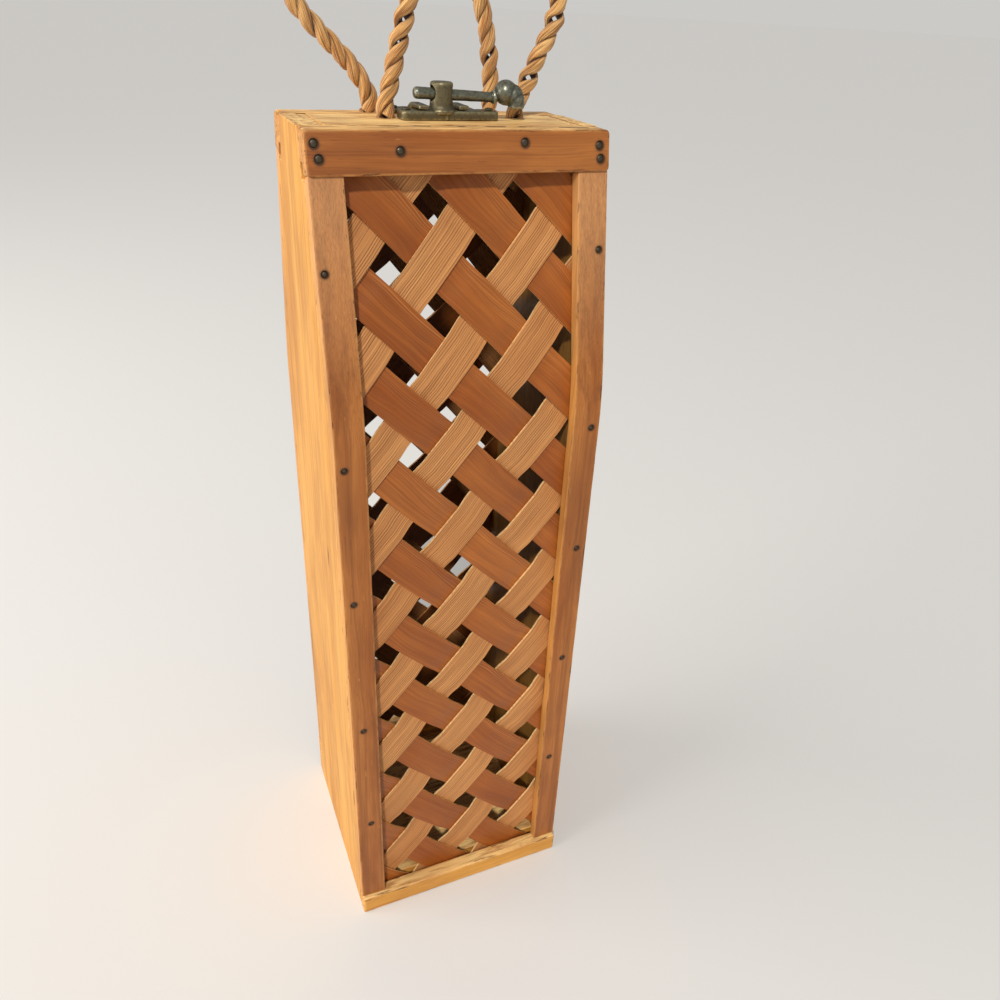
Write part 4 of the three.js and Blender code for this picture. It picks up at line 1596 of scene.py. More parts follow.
def centripetal(points: Sequence[Vector], samples: int) -> list[Vector]:
    """A smooth curve through points, at even steps of its length.

    Args:
        points: The points that it passes through.
        samples: How many points to return.

    Returns:
        The samples from the first point to the last.
    """
    ends = [points[0] * 2 - points[1], *points, points[-1] * 2 - points[-2]]
    dense = []
    for p0, p1, p2, p3 in zip(ends, ends[1:], ends[2:], ends[3:]):
        d0, d1, d2 = (math.sqrt((b - a).length) for a, b in ((p0, p1), (p1, p2), (p2, p3)))
        t1 = ((p1 - p0) / d0 - (p2 - p0) / (d0 + d1) + (p2 - p1) / d1) * d1
        t2 = ((p2 - p1) / d1 - (p3 - p1) / (d1 + d2) + (p3 - p2) / d2) * d1
        for i in range(CURVE_PARTS):
            s = i / CURVE_PARTS
            dense.append(p1 + t1 * s + (p2 * 3 - p1 * 3 - t1 * 2 - t2) * s ** 2
                         + (p1 * 2 - p2 * 2 + t1 + t2) * s ** 3)
    dense.append(points[-1].copy())
    lengths = [0.0]
    for a, b in zip(dense, dense[1:]):
        lengths.append(lengths[-1] + (b - a).length)
    evenly, place_now = [], 0
    for i in range(samples):
        target = lengths[-1] * i / (samples - 1)
        while place_now < len(dense) - 2 and lengths[place_now + 1] < target:
            place_now += 1
        span = lengths[place_now + 1] - lengths[place_now]
        evenly.append(dense[place_now].lerp(dense[place_now + 1], (target - lengths[place_now]) / span))
    return evenly


@dataclass(frozen=True)
class Loop:
    """One rope handle.

    Its route above the top is given as X, height and how far forward of the handle's rearmost plane, in
    millimetres, and the places where its strands part as X, height and how far.
    """

    title: str
    body: Body
    node: str
    route: tuple[Spot, ...]
    partings: tuple[Spot, ...]
    ends: tuple[str, str]
    knotted: bool


def lay_tube(bm: Mesh, rows: int, sides: int, vertex: Callable[[int, float], tuple[Vector, float, Pair]]) -> None:
    """Adds an open tube.

    Args:
        bm: The mesh that it is added to, with its UV and crevice layers.
        rows: Steps along the tube.
        sides: Steps round it.
        vertex: Gives the place, the crevice share and the UV for a row and an angle.
    """
    uv = bm.loops.layers.uv.verify()
    crevice = bm.verts.layers.float.get("crevice") or bm.verts.layers.float.new("crevice")
    made = bmesh.ops.create_grid(bm, x_segments=rows, y_segments=sides, size=0.5)
    flat = {}
    for vert in made["verts"]:
        row, angle = round((vert.co.x + 0.5) * rows), (vert.co.y + 0.5) * TURN
        vert.co, vert[crevice], flat[vert] = vertex(row, angle)
    for face in {face for vert in made["verts"] for face in vert.link_faces}:
        for loop in face.loops:
            loop[uv].uv = flat[loop.vert]


@dataclass(frozen=True)
class Knot:
    """The wraps that hold a rope's end under a board."""

    wraps: int = 3
    radius: float = 3.6 * MM
    tube: float = 1.5 * MM
    drop: float = 11.8 * MM
    rise: float = 2.5092 * MM
    steps: int = 40
    sides: int = 12

    def mesh(self, top: Vector) -> Mesh:
        """Builds the wraps.

        Args:
            top: Where the rope passes the board's upper face.

        Returns:
            The closed mesh with its UV and crevice layers.
        """
        samples = self.steps * self.wraps
        centres = []
        for i in range(samples + 1):
            turn = TURN * self.wraps * i / samples
            centres.append(top + Vector((math.cos(turn) * self.radius, math.sin(turn) * self.radius,
                                         -self.drop - self.rise * turn / TURN)))

        def vertex(row: int, angle: float) -> tuple[Vector, float, Pair]:
            """Places a vertex of the wraps.

            Args:
                row: How many steps along it lies.
                angle: Where round the tube it lies.

            Returns:
                Its place, its crevice share and its UV.
            """
            ahead = (centres[min(row + 1, samples)] - centres[max(row - 1, 0)]).normalized()
            out = centres[row] - top
            out = Vector((out.x, out.y, 0)).normalized()
            third = ahead.cross(out)
            spot = centres[row] + (-out * math.cos(angle) + third * math.sin(angle)) * self.tube
            # Painted shade: the crevice share is highest on the wraps' inner side, towards the rope.
            return spot, max(0.0, math.cos(angle)), (row * self.radius * TURN / self.steps, angle * self.tube)

        bm = bmesh.new()
        lay_tube(bm, samples, self.sides, vertex)
        bmesh.ops.remove_doubles(bm, verts=bm.verts, dist=MERGE_DISTANCE)
        return closed(bm)


@dataclass
class Handles:
    """Two laid rope handles, each of two loosely twisted strands, with their ends."""

    base: float = 370.3 * MM
    diameter: float = 6.2 * MM
    strand_depth: float = 1.66 * MM
    strand_width: float = 2.15 * MM
    lay: float = 1.55 * MM
    twist: float = -14.4 * MM
    untwist: float = 1.15
    parting_reach: float = 2.3 * MM
    parted_out: float = 0.62
    parted_thinner: Pair = (0.24, 0.36)
    sides: int = 20
    seeds: Pair = (1, 4.7)
    wander: Pair = (0.22, 55)
    looseness: Pair = (0.14, 90)
    coarseness: Pair = (0.1, 170)
    yarns: int = 5
    yarn_depth: float = 0.05
    yarn_turns: float = 2.2
    samples: int = 300
    end_step: float = 0.6 * MM
    least_end_steps: int = 12
    knotted_bore: float = 22 * MM
    plain_bore: float = 19 * MM
    knot: Knot = Knot()
    across: Spot = (0, 1, 0)
    hair_radius: float = 0.035 * MM
    hairs: int = 110
    hair_margin: int = 8
    hair_lengths: Pair = (1.2, 3.4)
    hair_parts: int = 4
    front: Loop = Loop(
        "front_rope", Body.CASE, "front_rope_handle",
        ((-19.3, 0, 3.6), (-19.3, 4.5, 3.6), (-17.3, 11, 3.4), (-14.9, 20, 3), (-11.9, 30, 2.4),
         (-8.4, 40, 1.7), (-2.6, 50.5, 1), (6, 59.5, 0.4), (17, 65, 0), (29, 65, 0), (39, 59, 0),
         (45, 50, 0), (46.6, 40, 0), (45.4, 31, 0), (41.8, 23.5, 0), (38.2, 16.5, 0), (35.6, 10, 0),
         (32.6, 5, 0.5), (31.2, 1.6, 1.5), (31.2, 0, 1.6)),
        ((-13.6, 23.6, 0.5), (-12, 29.7, 0.6), (45.8, 33, 0.9), (37.2, 13.5, 1)),
        ("front_rope_left_knot", "front_rope_right_knot"), True)
    rear: Loop = Loop(
        "rear_rope", Body.DOOR, "rear_rope_handle",
        ((-21.2, 0, 0), (-21.2, 5.5, 0), (-25.6, 13, 0), (-34, 21.5, 0), (-42.5, 29.5, 0), (-49, 38.5, 0),
         (-51.5, 48.5, 0), (-49, 58.5, 0), (-41, 65.5, 0), (-30, 68, 0), (-17, 66.5, 0), (-3, 61, 0),
         (9, 53.5, 0), (17.5, 44.5, 0), (22.5, 34, 0), (25.2, 23, 0), (26.5, 12, 0), (26.6, 5.5, 0),
         (26.6, 0, 0)),
        ((-49, 38.5, 0.3), (25.6, 20, 0.5)),
        ("rear_rope_left_end", "rear_rope_right_end"), False)

    def foot(self, node: str) -> Vector:
        """Where a rope's end passes the surface, at the height that the routes start from."""
        low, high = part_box(node)
        return Vector(((low.x + high.x) / 2, (low.y + high.y) / 2, self.base))

    def point(self, loop: Loop, x: float, height: float, forward: float) -> Vector:
        """A place of a handle's route, which is given in millimetres."""
        rearmost = self.foot(loop.ends[0]).y + loop.route[0][2] * MM
        return Vector((x * MM, rearmost - forward * MM, self.base + height * MM))

    def line(self, loop: Loop, samples: int) -> list[Vector]:
        """The handle's centreline."""
        return centripetal([self.point(loop, *place) for place in loop.route], samples)

    def bores(self, loop: Loop, radius: float) -> list[tuple[Matrix, float, float]]:
        """The holes that a handle's ends pass through."""
        depth = self.knotted_bore if loop.knotted else self.plain_bore
        return [(Matrix.Translation(self.foot(node)), radius, depth) for node in loop.ends]

    def partings(self, loop: Loop, centres: Sequence[Vector]) -> list[Pair]:
        """Where along a handle its strands part.

        Args:
            loop: The handle.
            centres: Its centreline at even steps.

        Returns:
            Each place's distance from the start, and how far the strands part.
        """
        step = (centres[1] - centres[0]).length
        found = []
        for x, height, size in loop.partings:
            spot = self.point(loop, x, height, 0)
            row = min(range(len(centres)), key=lambda i: (centres[i] - spot).length)
            found.append((row * step, size))
        return found

    def _axes(self, centres: Sequence[Vector], row: int) -> tuple[Vector, Vector, Vector]:
        """The direction of a centreline at one of its points, and two directions across it.

        Args:
            centres: The centreline.
            row: The point's place in it.

        Returns:
            The direction along the line, the one across it and upright, and the third.
        """
        last = len(centres) - 1
        tangent = (centres[min(row + 1, last)] - centres[max(row - 1, 0)]).normalized()
        normal = tangent.cross(Vector(self.across)).normalized()
        return tangent, normal, normal.cross(tangent)

    def strand_mesh(self, bm: Mesh, centres: Sequence[Vector], phase: float, twist: float,
                    seed: float, partings: Sequence[Pair]) -> None:
        """Lays one strand of a rope round a centreline.

        Args:
            bm: The mesh that the strand is added to, with its UV and crevice layers.
            centres: The centreline at even steps.
            phase: Where round the rope the strand starts.
            twist: The length of one turn, below 0 for a left-hand one.
            seed: What makes its unevenness its own.
            partings: Where along the line the strands part, and how far.
        """
        step = (centres[1] - centres[0]).length
        lean = TURN * self.lay / twist
        wander, wander_count = self.wander
        looseness, loose_count = self.looseness
        coarseness, coarse_count = self.coarseness
        thinner_deep, thinner_wide = self.parted_thinner

        def vertex(row: int, angle: float) -> tuple[Vector, float, Pair]:
            """Places a vertex of the strand.

            Args:
                row: How many steps along it lies.
                angle: Where round the tube it lies.

            Returns:
                Its place, its crevice share and its UV.
            """
            tangent, normal, side = self._axes(centres, row)
            distance = row * step
            parted = sum(size * math.exp(-((distance - place) / self.parting_reach) ** 2)
                         for place, size in partings)
            turn = phase + TURN * distance / twist
            turn += wander * noise.noise(Vector((distance * wander_count, seed, 0)))
            loose = 1 + looseness * noise.noise(Vector((distance * loose_count, 0, seed)))
            loose += self.parted_out * parted
            out = normal * math.cos(turn) + side * math.sin(turn)
            around = side * math.cos(turn) - normal * math.sin(turn)
            heading = (tangent + around * lean).normalized()
            third = heading.cross(out)
            yarns = 1 + self.yarn_depth * math.cos(self.yarns * angle + distance / twist * TURN * self.yarn_turns)
            uneven = yarns * (1 + coarseness * noise.noise(
                Vector((distance * coarse_count, math.cos(angle), math.sin(angle) + seed))))
            deep = self.strand_depth * (1 - thinner_deep * parted) * uneven
            wide = self.strand_width * (1 - thinner_wide * parted) * uneven
            centre = centres[row] + out * self.lay * loose
            spot = centre - out * math.cos(angle) * deep + third * math.sin(angle) * wide
            # Painted shade: the crevice share grows where the strand's surface turns in towards the other strand.
            hidden = min(1.0, max(0.0, (math.cos(angle) + 0.35) / 0.95)) ** 1.35
            return spot, hidden, (distance, angle * self.strand_width + distance * lean * self.untwist)

        lay_tube(bm, len(centres) - 1, self.sides, vertex)

    def rope_mesh(self, centres: Sequence[Vector], partings: Sequence[Pair] = ()) -> Mesh:
        """Lays two strands round one centreline, closed at their ends.

        Args:
            centres: The centreline at even steps.
            partings: Where the strands part, and how far. The strands lie beside each other in the
                upright plane there.

        Returns:
            The rope.
        """
        bm = bmesh.new()
        twist, phase = self.twist, 0.0
        if partings:
            first, last = partings[0][0], partings[-1][0]
            twist = 2 * (last - first) / round(2 * (last - first) / twist)
            phase = -TURN * first / twist
        for i, seed in enumerate(self.seeds):
            self.strand_mesh(bm, centres, phase + math.pi * i, twist, seed, partings)
        bmesh.ops.remove_doubles(bm, verts=bm.verts, dist=MERGE_DISTANCE)
        return closed(bm)

    def hair_mesh(self, centres: Sequence[Vector], chance: random.Random) -> Mesh:
        """Loose fibres that stand off a rope.

        Args:
            centres: The rope's centreline.
            chance: The source of their places.

        Returns:
            The mesh of all fibres.
        """
        bm = bmesh.new()
        for _ in range(self.hairs):
            row = chance.randrange(self.hair_margin, len(centres) - self.hair_margin)
            tangent, normal, side = self._axes(centres, row)
            turn = chance.uniform(0, TURN)
            out = normal * math.cos(turn) + side * math.sin(turn)
            around = side * math.cos(turn) - normal * math.sin(turn)
            way = tangent * chance.choice((-1, 1)) + around * chance.uniform(-0.9, 0.9)
            heading = (way + out * chance.uniform(0.1, 0.5)).normalized()
            length = chance.uniform(*self.hair_lengths) * MM
            root = centres[row] + out * self.strand_width
            bend = chance.uniform(0.1, 0.5)
            ring = bmesh.ops.create_circle(bm, segments=3, radius=self.hair_radius, cap_ends=False)["verts"]
            turned = heading.to_track_quat("Z", "Y").to_matrix().to_4x4()
            bmesh.ops.transform(bm, matrix=Matrix.Translation(root) @ turned, verts=ring)
            edges = list({edge for vert in ring for edge in vert.link_edges})
            for i in range(self.hair_parts):
                made = bmesh.ops.extrude_edge_only(bm, edges=edges)["geom"]
                edges = [item for item in made if isinstance(item, bmesh.types.BMEdge)]
                verts = [item for item in made if isinstance(item, bmesh.types.BMVert)]
                move = (heading + out * bend * i / self.hair_parts) * length / self.hair_parts
                bmesh.ops.translate(bm, verts=verts, vec=move)
            tip = sum((vert.co for vert in verts), Vector()) / len(verts)
            bmesh.ops.pointmerge(bm, verts=verts, merge_co=tip)
        return closed(bm)

    def end_mesh(self, loop: Loop, node: str) -> Mesh:
        """A rope's end below the surface: two strands down the hole, and wraps where it is knotted.

        Args:
            loop: The handle.
            node: The end's frame node.

        Returns:
            The mesh.
        """
        low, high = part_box(node)
        foot = self.foot(node)
        top = Vector((foot.x, foot.y, high.z))
        depth = high.z - low.z
        count = max(self.least_end_steps, round(depth / self.end_step))
        centres = [top - Vector((0, 0, depth * i / (count - 1))) for i in range(count)]
        bm = self.rope_mesh(centres)
        if loop.knotted:
            absorb(bm, self.knot.mesh(top))
        return bm

    def build(self, finish: Material) -> None:
        """Builds both handles.

        Args:
            finish: The rope's material.
        """
        for loop in (self.front, self.rear):
            centres = self.line(loop, self.samples)
            length = (centres[1] - centres[0]).length * (self.samples - 1)
            rope = dress(self.rope_mesh(centres, self.partings(loop, centres)), loop.title, finish)
            place(rope, loop.body, Slot.ROPE, loop.node)
            hairs = dress(self.hair_mesh(centres, random.Random(loop.title)), loop.title + "_fibres", finish)
            place(hairs, loop.body, Slot.ROPE)
            for node in loop.ends:
                end = dress(self.end_mesh(loop, node), node + "_strands", finish)
                place(end, loop.body, Slot.ROPE, node)


def cube(low: Sequence[float], high: Sequence[float]) -> Mesh:
    """A box.

    Args:
        low: Its lowest corner.
        high: Its highest corner.

    Returns:
        The closed mesh.
    """
    bm = bmesh.new()
    low, high = Vector(low), Vector(high)
    size = Matrix.Diagonal((*(high - low), 1))
    bmesh.ops.create_cube(bm, size=1, matrix=Matrix.Translation((low + high) / 2) @ size)
    return bm


def arc(radius: float, centre: float, first: float, last: float, steps: int) -> list[Pair]:
    """Points of a lathe profile on a circle about its axis.

    Args:
        radius: The circle's radius.
        centre: Its height on the axis.
        first: The first angle from the axis's low end, in degrees.
        last: The last angle.
        steps: How many steps lead from one to the other.

    Returns:
        Radius and height of each point.
    """
    angles = [math.radians(first + (last - first) * i / steps) for i in range(steps + 1)]
    return [(max(0.0, radius * math.sin(a)), centre - radius * math.cos(a)) for a in angles]


@dataclass
class Latch:
    """The slide latch on the top: plate with staple, bolt with ball and lug, keeper, and their screws."""

    voxel: float = 0.22 * MM
    passes: int = 5
    plate_height: float = 3 * MM
    plate_corner: float = 1.5 * MM
    plate_edge: float = 0.8 * MM
    rib_radius: float = 0.55 * MM
    rib_shift: float = 0.8 * MM
    staple_x: float = -0.35 * MM
    staple_radius: float = 4.1 * MM
    flare: float = 1.0 * MM
    flare_rise: float = 1.9 * MM
    rim: float = 0.9 * MM
    bore: float = 2.6 * MM
    rod_radius: float = 2.0 * MM
    collar_radius: float = 2.3 * MM
    collar: Pair = (18.7 * MM, 20.3 * MM)
    axis_drop: float = 4.6 * MM
    ball_radius: float = 4.25 * MM
    ball_x: float = 24.2 * MM
    ball_rise: float = 0.5 * MM
    bulge_radius: float = 3.8 * MM
    bulge_at: Spot = (26.6 * MM, -1.0 * MM, -0.4 * MM)
    lug_radius: float = 2.9 * MM
    lug_offset: float = 3.4 * MM
    lug_forward: float = 2.3 * MM
    lug_drop: float = 4.6 * MM
    lug_shoulder: float = 1.7 * MM
    sag: float = 1.1 * MM
    sag_from: float = 5 * MM
    taper: float = 0.16
    dish: float = 2.1 * MM
    dish_depth: float = 0.4 * MM
    slot_width: float = 0.5 * MM
    slot_depth: float = 0.35 * MM
    unevenness: float = 0.05 * MM
    dents_per_metre: float = 450
    worn_rise: float = 0.07
    keeper_edge: float = 0.5 * MM
    screw_head: float = 0.7 * MM
    screw_tip: float = 1.6 * MM
    screw_turns: tuple[float, float, float, float] = (0.4, 1.3, -0.5, 0.9)
    cutter_above: float = 0.2 * MM
    joint_reach: float = 0.1 * MM

    def axis(self) -> Vector:
        """A point of the bolt's axis, at X = 0."""
        low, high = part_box("latch_front_plate")
        return Vector((0, (low.y + high.y) / 2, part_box("latch_bolt")[1].z - self.axis_drop))

    def cast(self, piece: Piece, body: Body, node: str, finish: Material) -> None:
        """Finishes a latch piece as a casting with soft edges.

        Args:
            piece: The piece with hard edges, which may be several closed shapes.
            body: Its body.
            node: The frame node that it stands for.
            finish: Its material.
        """
        remesh = piece.modifiers.new("cast", "REMESH")
        remesh.mode = "VOXEL"
        remesh.voxel_size = self.voxel
        applied(piece)
        bm = bmesh.new()
        bm.from_mesh(piece.data)
        for _ in range(self.passes):
            bmesh.ops.smooth_vert(bm, verts=bm.verts, factor=0.5, use_axis_x=True, use_axis_y=True, use_axis_z=True)
        layer = bm.verts.layers.float.new("wear")
        bm.normal_update()
        for vert in bm.verts:
            around = [edge.other_vert(vert).co for edge in vert.link_edges]
            middle = sum(around, Vector()) / len(around)
            rise = (vert.co - middle).dot(vert.normal)
            vert[layer] = min(1.0, max(0.0, rise / (self.voxel * self.worn_rise)))
        for vert in bm.verts:
            vert.co += vert.normal * self.unevenness * noise.noise(vert.co * self.dents_per_metre)
        for face in bm.faces:
            face.smooth = True
        bm.to_mesh(piece.data)
        bm.free()
        piece.data.materials.clear()
        piece.data.materials.append(finish)
        place(piece, body, Slot.BRONZE, node)

    def plate(self, finish: Material) -> None:
        """The front plate with its staple, an upright barrel that the bolt runs through.

        Args:
            finish: Its material.
        """
        low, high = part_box("latch_front_plate")
        top = low.z + self.plate_height
        bm = cube(low, (high.x, high.y, top))
        upright = [edge for edge in bm.edges if abs((edge.verts[0].co - edge.verts[1].co).z) > MM]
        rounded(bm, upright, self.plate_corner, 4)
        upper = [edge for edge in bm.edges if all(vert.co.z > top - MERGE_DISTANCE for vert in edge.verts)]
        rounded(bm, upper, self.plate_edge, 3)
        piece = dress(bm, "latch_plate_casting", finish)
        r = self.staple_radius
        flared = [(r + self.flare * (1 - i / 5) ** 2, top + self.flare_rise * i / 5) for i in range(6)]
        crown = [(r, high.z - self.rim), (r - self.rim * 0.12, high.z - self.rim * 0.5),
                 (r - self.rim * 0.45, high.z - self.rim * 0.12), (r - self.rim, high.z), (0, high.z)]
        axis = self.axis()
        spot = Matrix.Translation((self.staple_x, axis.y, 0))
        root = top - MM
        barrel = lathe([(0, root), (r + self.flare, root), *flared, *crown], spot, 40)
        combine(piece, barrel, Join.ADD)
        rib = rod(self.rib_radius, self.plate_height * 0.8,
                  Matrix.Translation((self.staple_x + self.rib_shift, low.y, low.z + self.plate_height * 0.5)), 16)
        combine(piece, rib, Join.ADD)
        bored = rod(self.bore, 5 * r, Matrix.Translation((self.staple_x, axis.y, axis.z)) @ LYING, 36)
        combine(piece, bored, Join.CUT)
        dishes = bmesh.new()
        for node in ("latch_plate_screw_1", "latch_plate_screw_2"):
            centre = sum(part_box(node), Vector()) / 2
            middle = Matrix.Translation((centre.x, centre.y, top - (self.dish_depth - self.cutter_above) / 2))
            bmesh.ops.create_cone(dishes, cap_ends=True, segments=28, radius1=self.dish * 0.8,
                                  radius2=self.dish, depth=self.dish_depth + self.cutter_above, matrix=middle)
        combine(piece, dishes, Join.CUT)
        self.cast(piece, Body.CASE, "latch_front_plate", finish)

    def bolt(self, finish: Material) -> None:
        """The round bolt with its collar, its ball and the lug beside it.

        Args:
            finish: Its material.
        """
        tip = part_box("latch_bolt")[0].x
        r, collar = self.rod_radius, self.collar_radius
        first, last = self.collar
        neck = math.degrees(math.asin(r / self.ball_radius))
        profile = [(0, tip), (r * 0.62, tip), (r * 0.86, tip + 0.3 * MM), (r, tip + 1.1 * MM),
                   (r, first - 0.3 * MM), (collar * 0.93, first), (collar, first + 0.4 * MM),
                   (collar, last - 0.6 * MM), (collar * 0.85, last),
                   *arc(self.ball_radius, self.ball_x, neck, 180, 22)]
        axis = self.axis()
        along = Matrix.Translation(axis) @ LYING
        bm = lathe(profile, along, 40)
        for vert in bm.verts:
            share = min(1.0, max(0.0, (vert.co.x - self.sag_from) / (first - self.sag_from)))
            if vert.co.x < first + self.joint_reach:
                vert.co.y = axis.y + (vert.co.y - axis.y) * (1 - self.taper * share)
                vert.co.z = axis.z + (vert.co.z - axis.z) * (1 - self.taper * share)
            ahead = vert.co.x < last + self.joint_reach
            vert.co.z += -self.sag * share ** 1.5 if ahead else self.ball_rise
        bulge = Matrix.Translation(axis + Vector(self.bulge_at))
        absorb(bm, lathe(arc(self.bulge_radius, 0, 0, 180, 20), bulge, 32))
        r = self.lug_radius
        spot = Matrix.Translation(axis + Vector((self.ball_x + self.lug_offset, -self.lug_forward, 0)))
        finger = [(0, -self.lug_drop), (r * 0.8, -self.lug_drop), (r, -self.lug_drop + 0.5 * MM),
                  *arc(r, -self.lug_shoulder, 90, 180, 8)]
        absorb(bm, lathe(finger, spot, 32))
        self.cast(dress(bm, "latch_bolt_casting", finish), Body.BOLT, "latch_bolt", finish)

    def keeper(self, finish: Material) -> None:
        """The keeper plate with its two prongs under the bolt, their edges rounded.

        Args:
            finish: Its material.
        """
        bm = copy_of("latch_keeper")
        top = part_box("latch_keeper")[1].z
        ends = [edge for edge in bm.edges if is_sharp(edge) and edge.is_convex
                and all(vert.co.z > top - MERGE_DISTANCE for vert in edge.verts)
                and abs((edge.verts[0].co - edge.verts[1].co).y) > MM]
        rounded(bm, ends, self.keeper_edge, 3)
        self.cast(dress(bm, "latch_keeper_casting", finish), Body.DOOR, "latch_keeper", finish)

    def screw(self, node: str, body: Body, finish: Material, turn: float) -> None:
        """A slotted screw with a domed head.

        Args:
            node: The frame node.
            body: Its body.
            finish: Its material.
            turn: How far the slot is turned.
        """
        low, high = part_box(node)
        centre = (low + high) / 2
        radius = (high.x - low.x) / 2
        head = self.screw_head
        profile = [(0, low.z), (radius * 0.3, low.z + self.screw_tip), (radius * 0.5, high.z - head),
                   (radius, high.z - head), (radius, high.z - head * 0.6), (radius * 0.82, high.z - head * 0.25),
                   (radius * 0.45, high.z - head * 0.05), (0, high.z)]
        piece = dress(lathe(profile, Matrix.Translation((centre.x, centre.y, 0)), 28), node + "_turned", finish)
        slot = cube((-self.slot_width / 2, -2 * radius, -self.slot_depth),
                    (self.slot_width / 2, 2 * radius, self.slot_depth))
        spot = Matrix.Translation((centre.x, centre.y, high.z)) @ Matrix.Rotation(turn, 4, "Z")
        bmesh.ops.transform(slot, matrix=spot, verts=slot.verts)
        combine(piece, slot, Join.CUT)
        place(piece, body, Slot.BRONZE, node)

    def build(self, finish: Material, slid: Material) -> None:
        """Builds the latch.

        Args:
            finish: The aged bronze.
            slid: The bolt's bronze, darker and handled smooth.
        """
        self.plate(finish)
        self.bolt(slid)
        self.keeper(finish)
        screws = (("latch_plate_screw_1", Body.CASE), ("latch_plate_screw_2", Body.CASE),
                  ("latch_keeper_screw_1", Body.DOOR), ("latch_keeper_screw_2", Body.DOOR))
        for (node, body), turn in zip(screws, self.screw_turns):
            self.screw(node, body, finish, turn)


@dataclass
class Hinges:
    """The two butt hinges at the foot of the door, with their pins and screws."""

    edge: float = 0.18 * MM
    screw_head: float = 1.5 * MM
    screw_inset: float = 5 * MM
    screw_rise: float = 3.6 * MM
    proud: float = 0.25 * MM
    leaf_face: float = 3.05 * MM
    wear: float = 0.4

    def leaf(self, node: str, body: Body, finish: Material) -> None:
        """A leaf with eased edges and two screws.

        Args:
            node: The frame node.
            body: Its body.
            finish: Its material.
        """
        bm = copy_of(node)
        soften(bm, self.edge, 2)
        layer = bm.verts.layers.float.new("wear")
        for vert in bm.verts:
            vert[layer] = self.wear
        place(dress(bm, node + "_plate", finish), body, Slot.BRASS, node)
        low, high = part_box(node)
        level = low.z + self.screw_rise if body is Body.CASE else high.z - self.screw_rise
        for side, x in (("a", low.x + self.screw_inset), ("b", high.x - self.screw_inset)):
            place(dress(self._screw(x, level), f"{node}_screw_{side}", finish), body, Slot.BRASS)

    def _screw(self, x: float, level: float) -> Mesh:
        """A flat screw head in a leaf, facing the rear.

        Args:
            x: Its X.
            level: Its height.

        Returns:
            The closed mesh.
        """
        out = FACE.at(FACE.distance_at(level), -self.leaf_face)
        r = self.screw_head
        profile = [(0, -0.8 * MM), (r * 0.7, -0.8 * MM), (r, 0), (r * 0.96, self.proud * 0.7),
                   (r * 0.7, self.proud), (0, self.proud)]
        turn = Matrix.Rotation(-math.pi / 2, 4, "X")
        return lathe(profile, Matrix.Translation((x, -out.x, out.y)) @ turn, 24)

    def build(self, finish: Material) -> None:
        """Builds both hinges.

        Args:
            finish: The dull brass.
        """
        for side in ("left", "right"):
            self.leaf(f"hinge_{side}_lower_leaf", Body.CASE, finish)
            self.leaf(f"hinge_{side}_upper_leaf", Body.DOOR, finish)
            node = f"hinge_{side}_pin"
            low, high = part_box(node)
            centre = (low + high) / 2
            radius = (high.z - low.z) / 2
            half = (high.x - low.x) / 2
            profile = [(0, -half), (radius * 0.8, -half), (radius, -half + radius * 0.3),
                       (radius, half - radius * 0.3), (radius * 0.8, half), (0, half)]
            matrix = Matrix.Translation(centre) @ LYING
            place(dress(lathe(profile, matrix, 20), node + "_turned", finish), Body.CASE, Slot.BRASS, node)


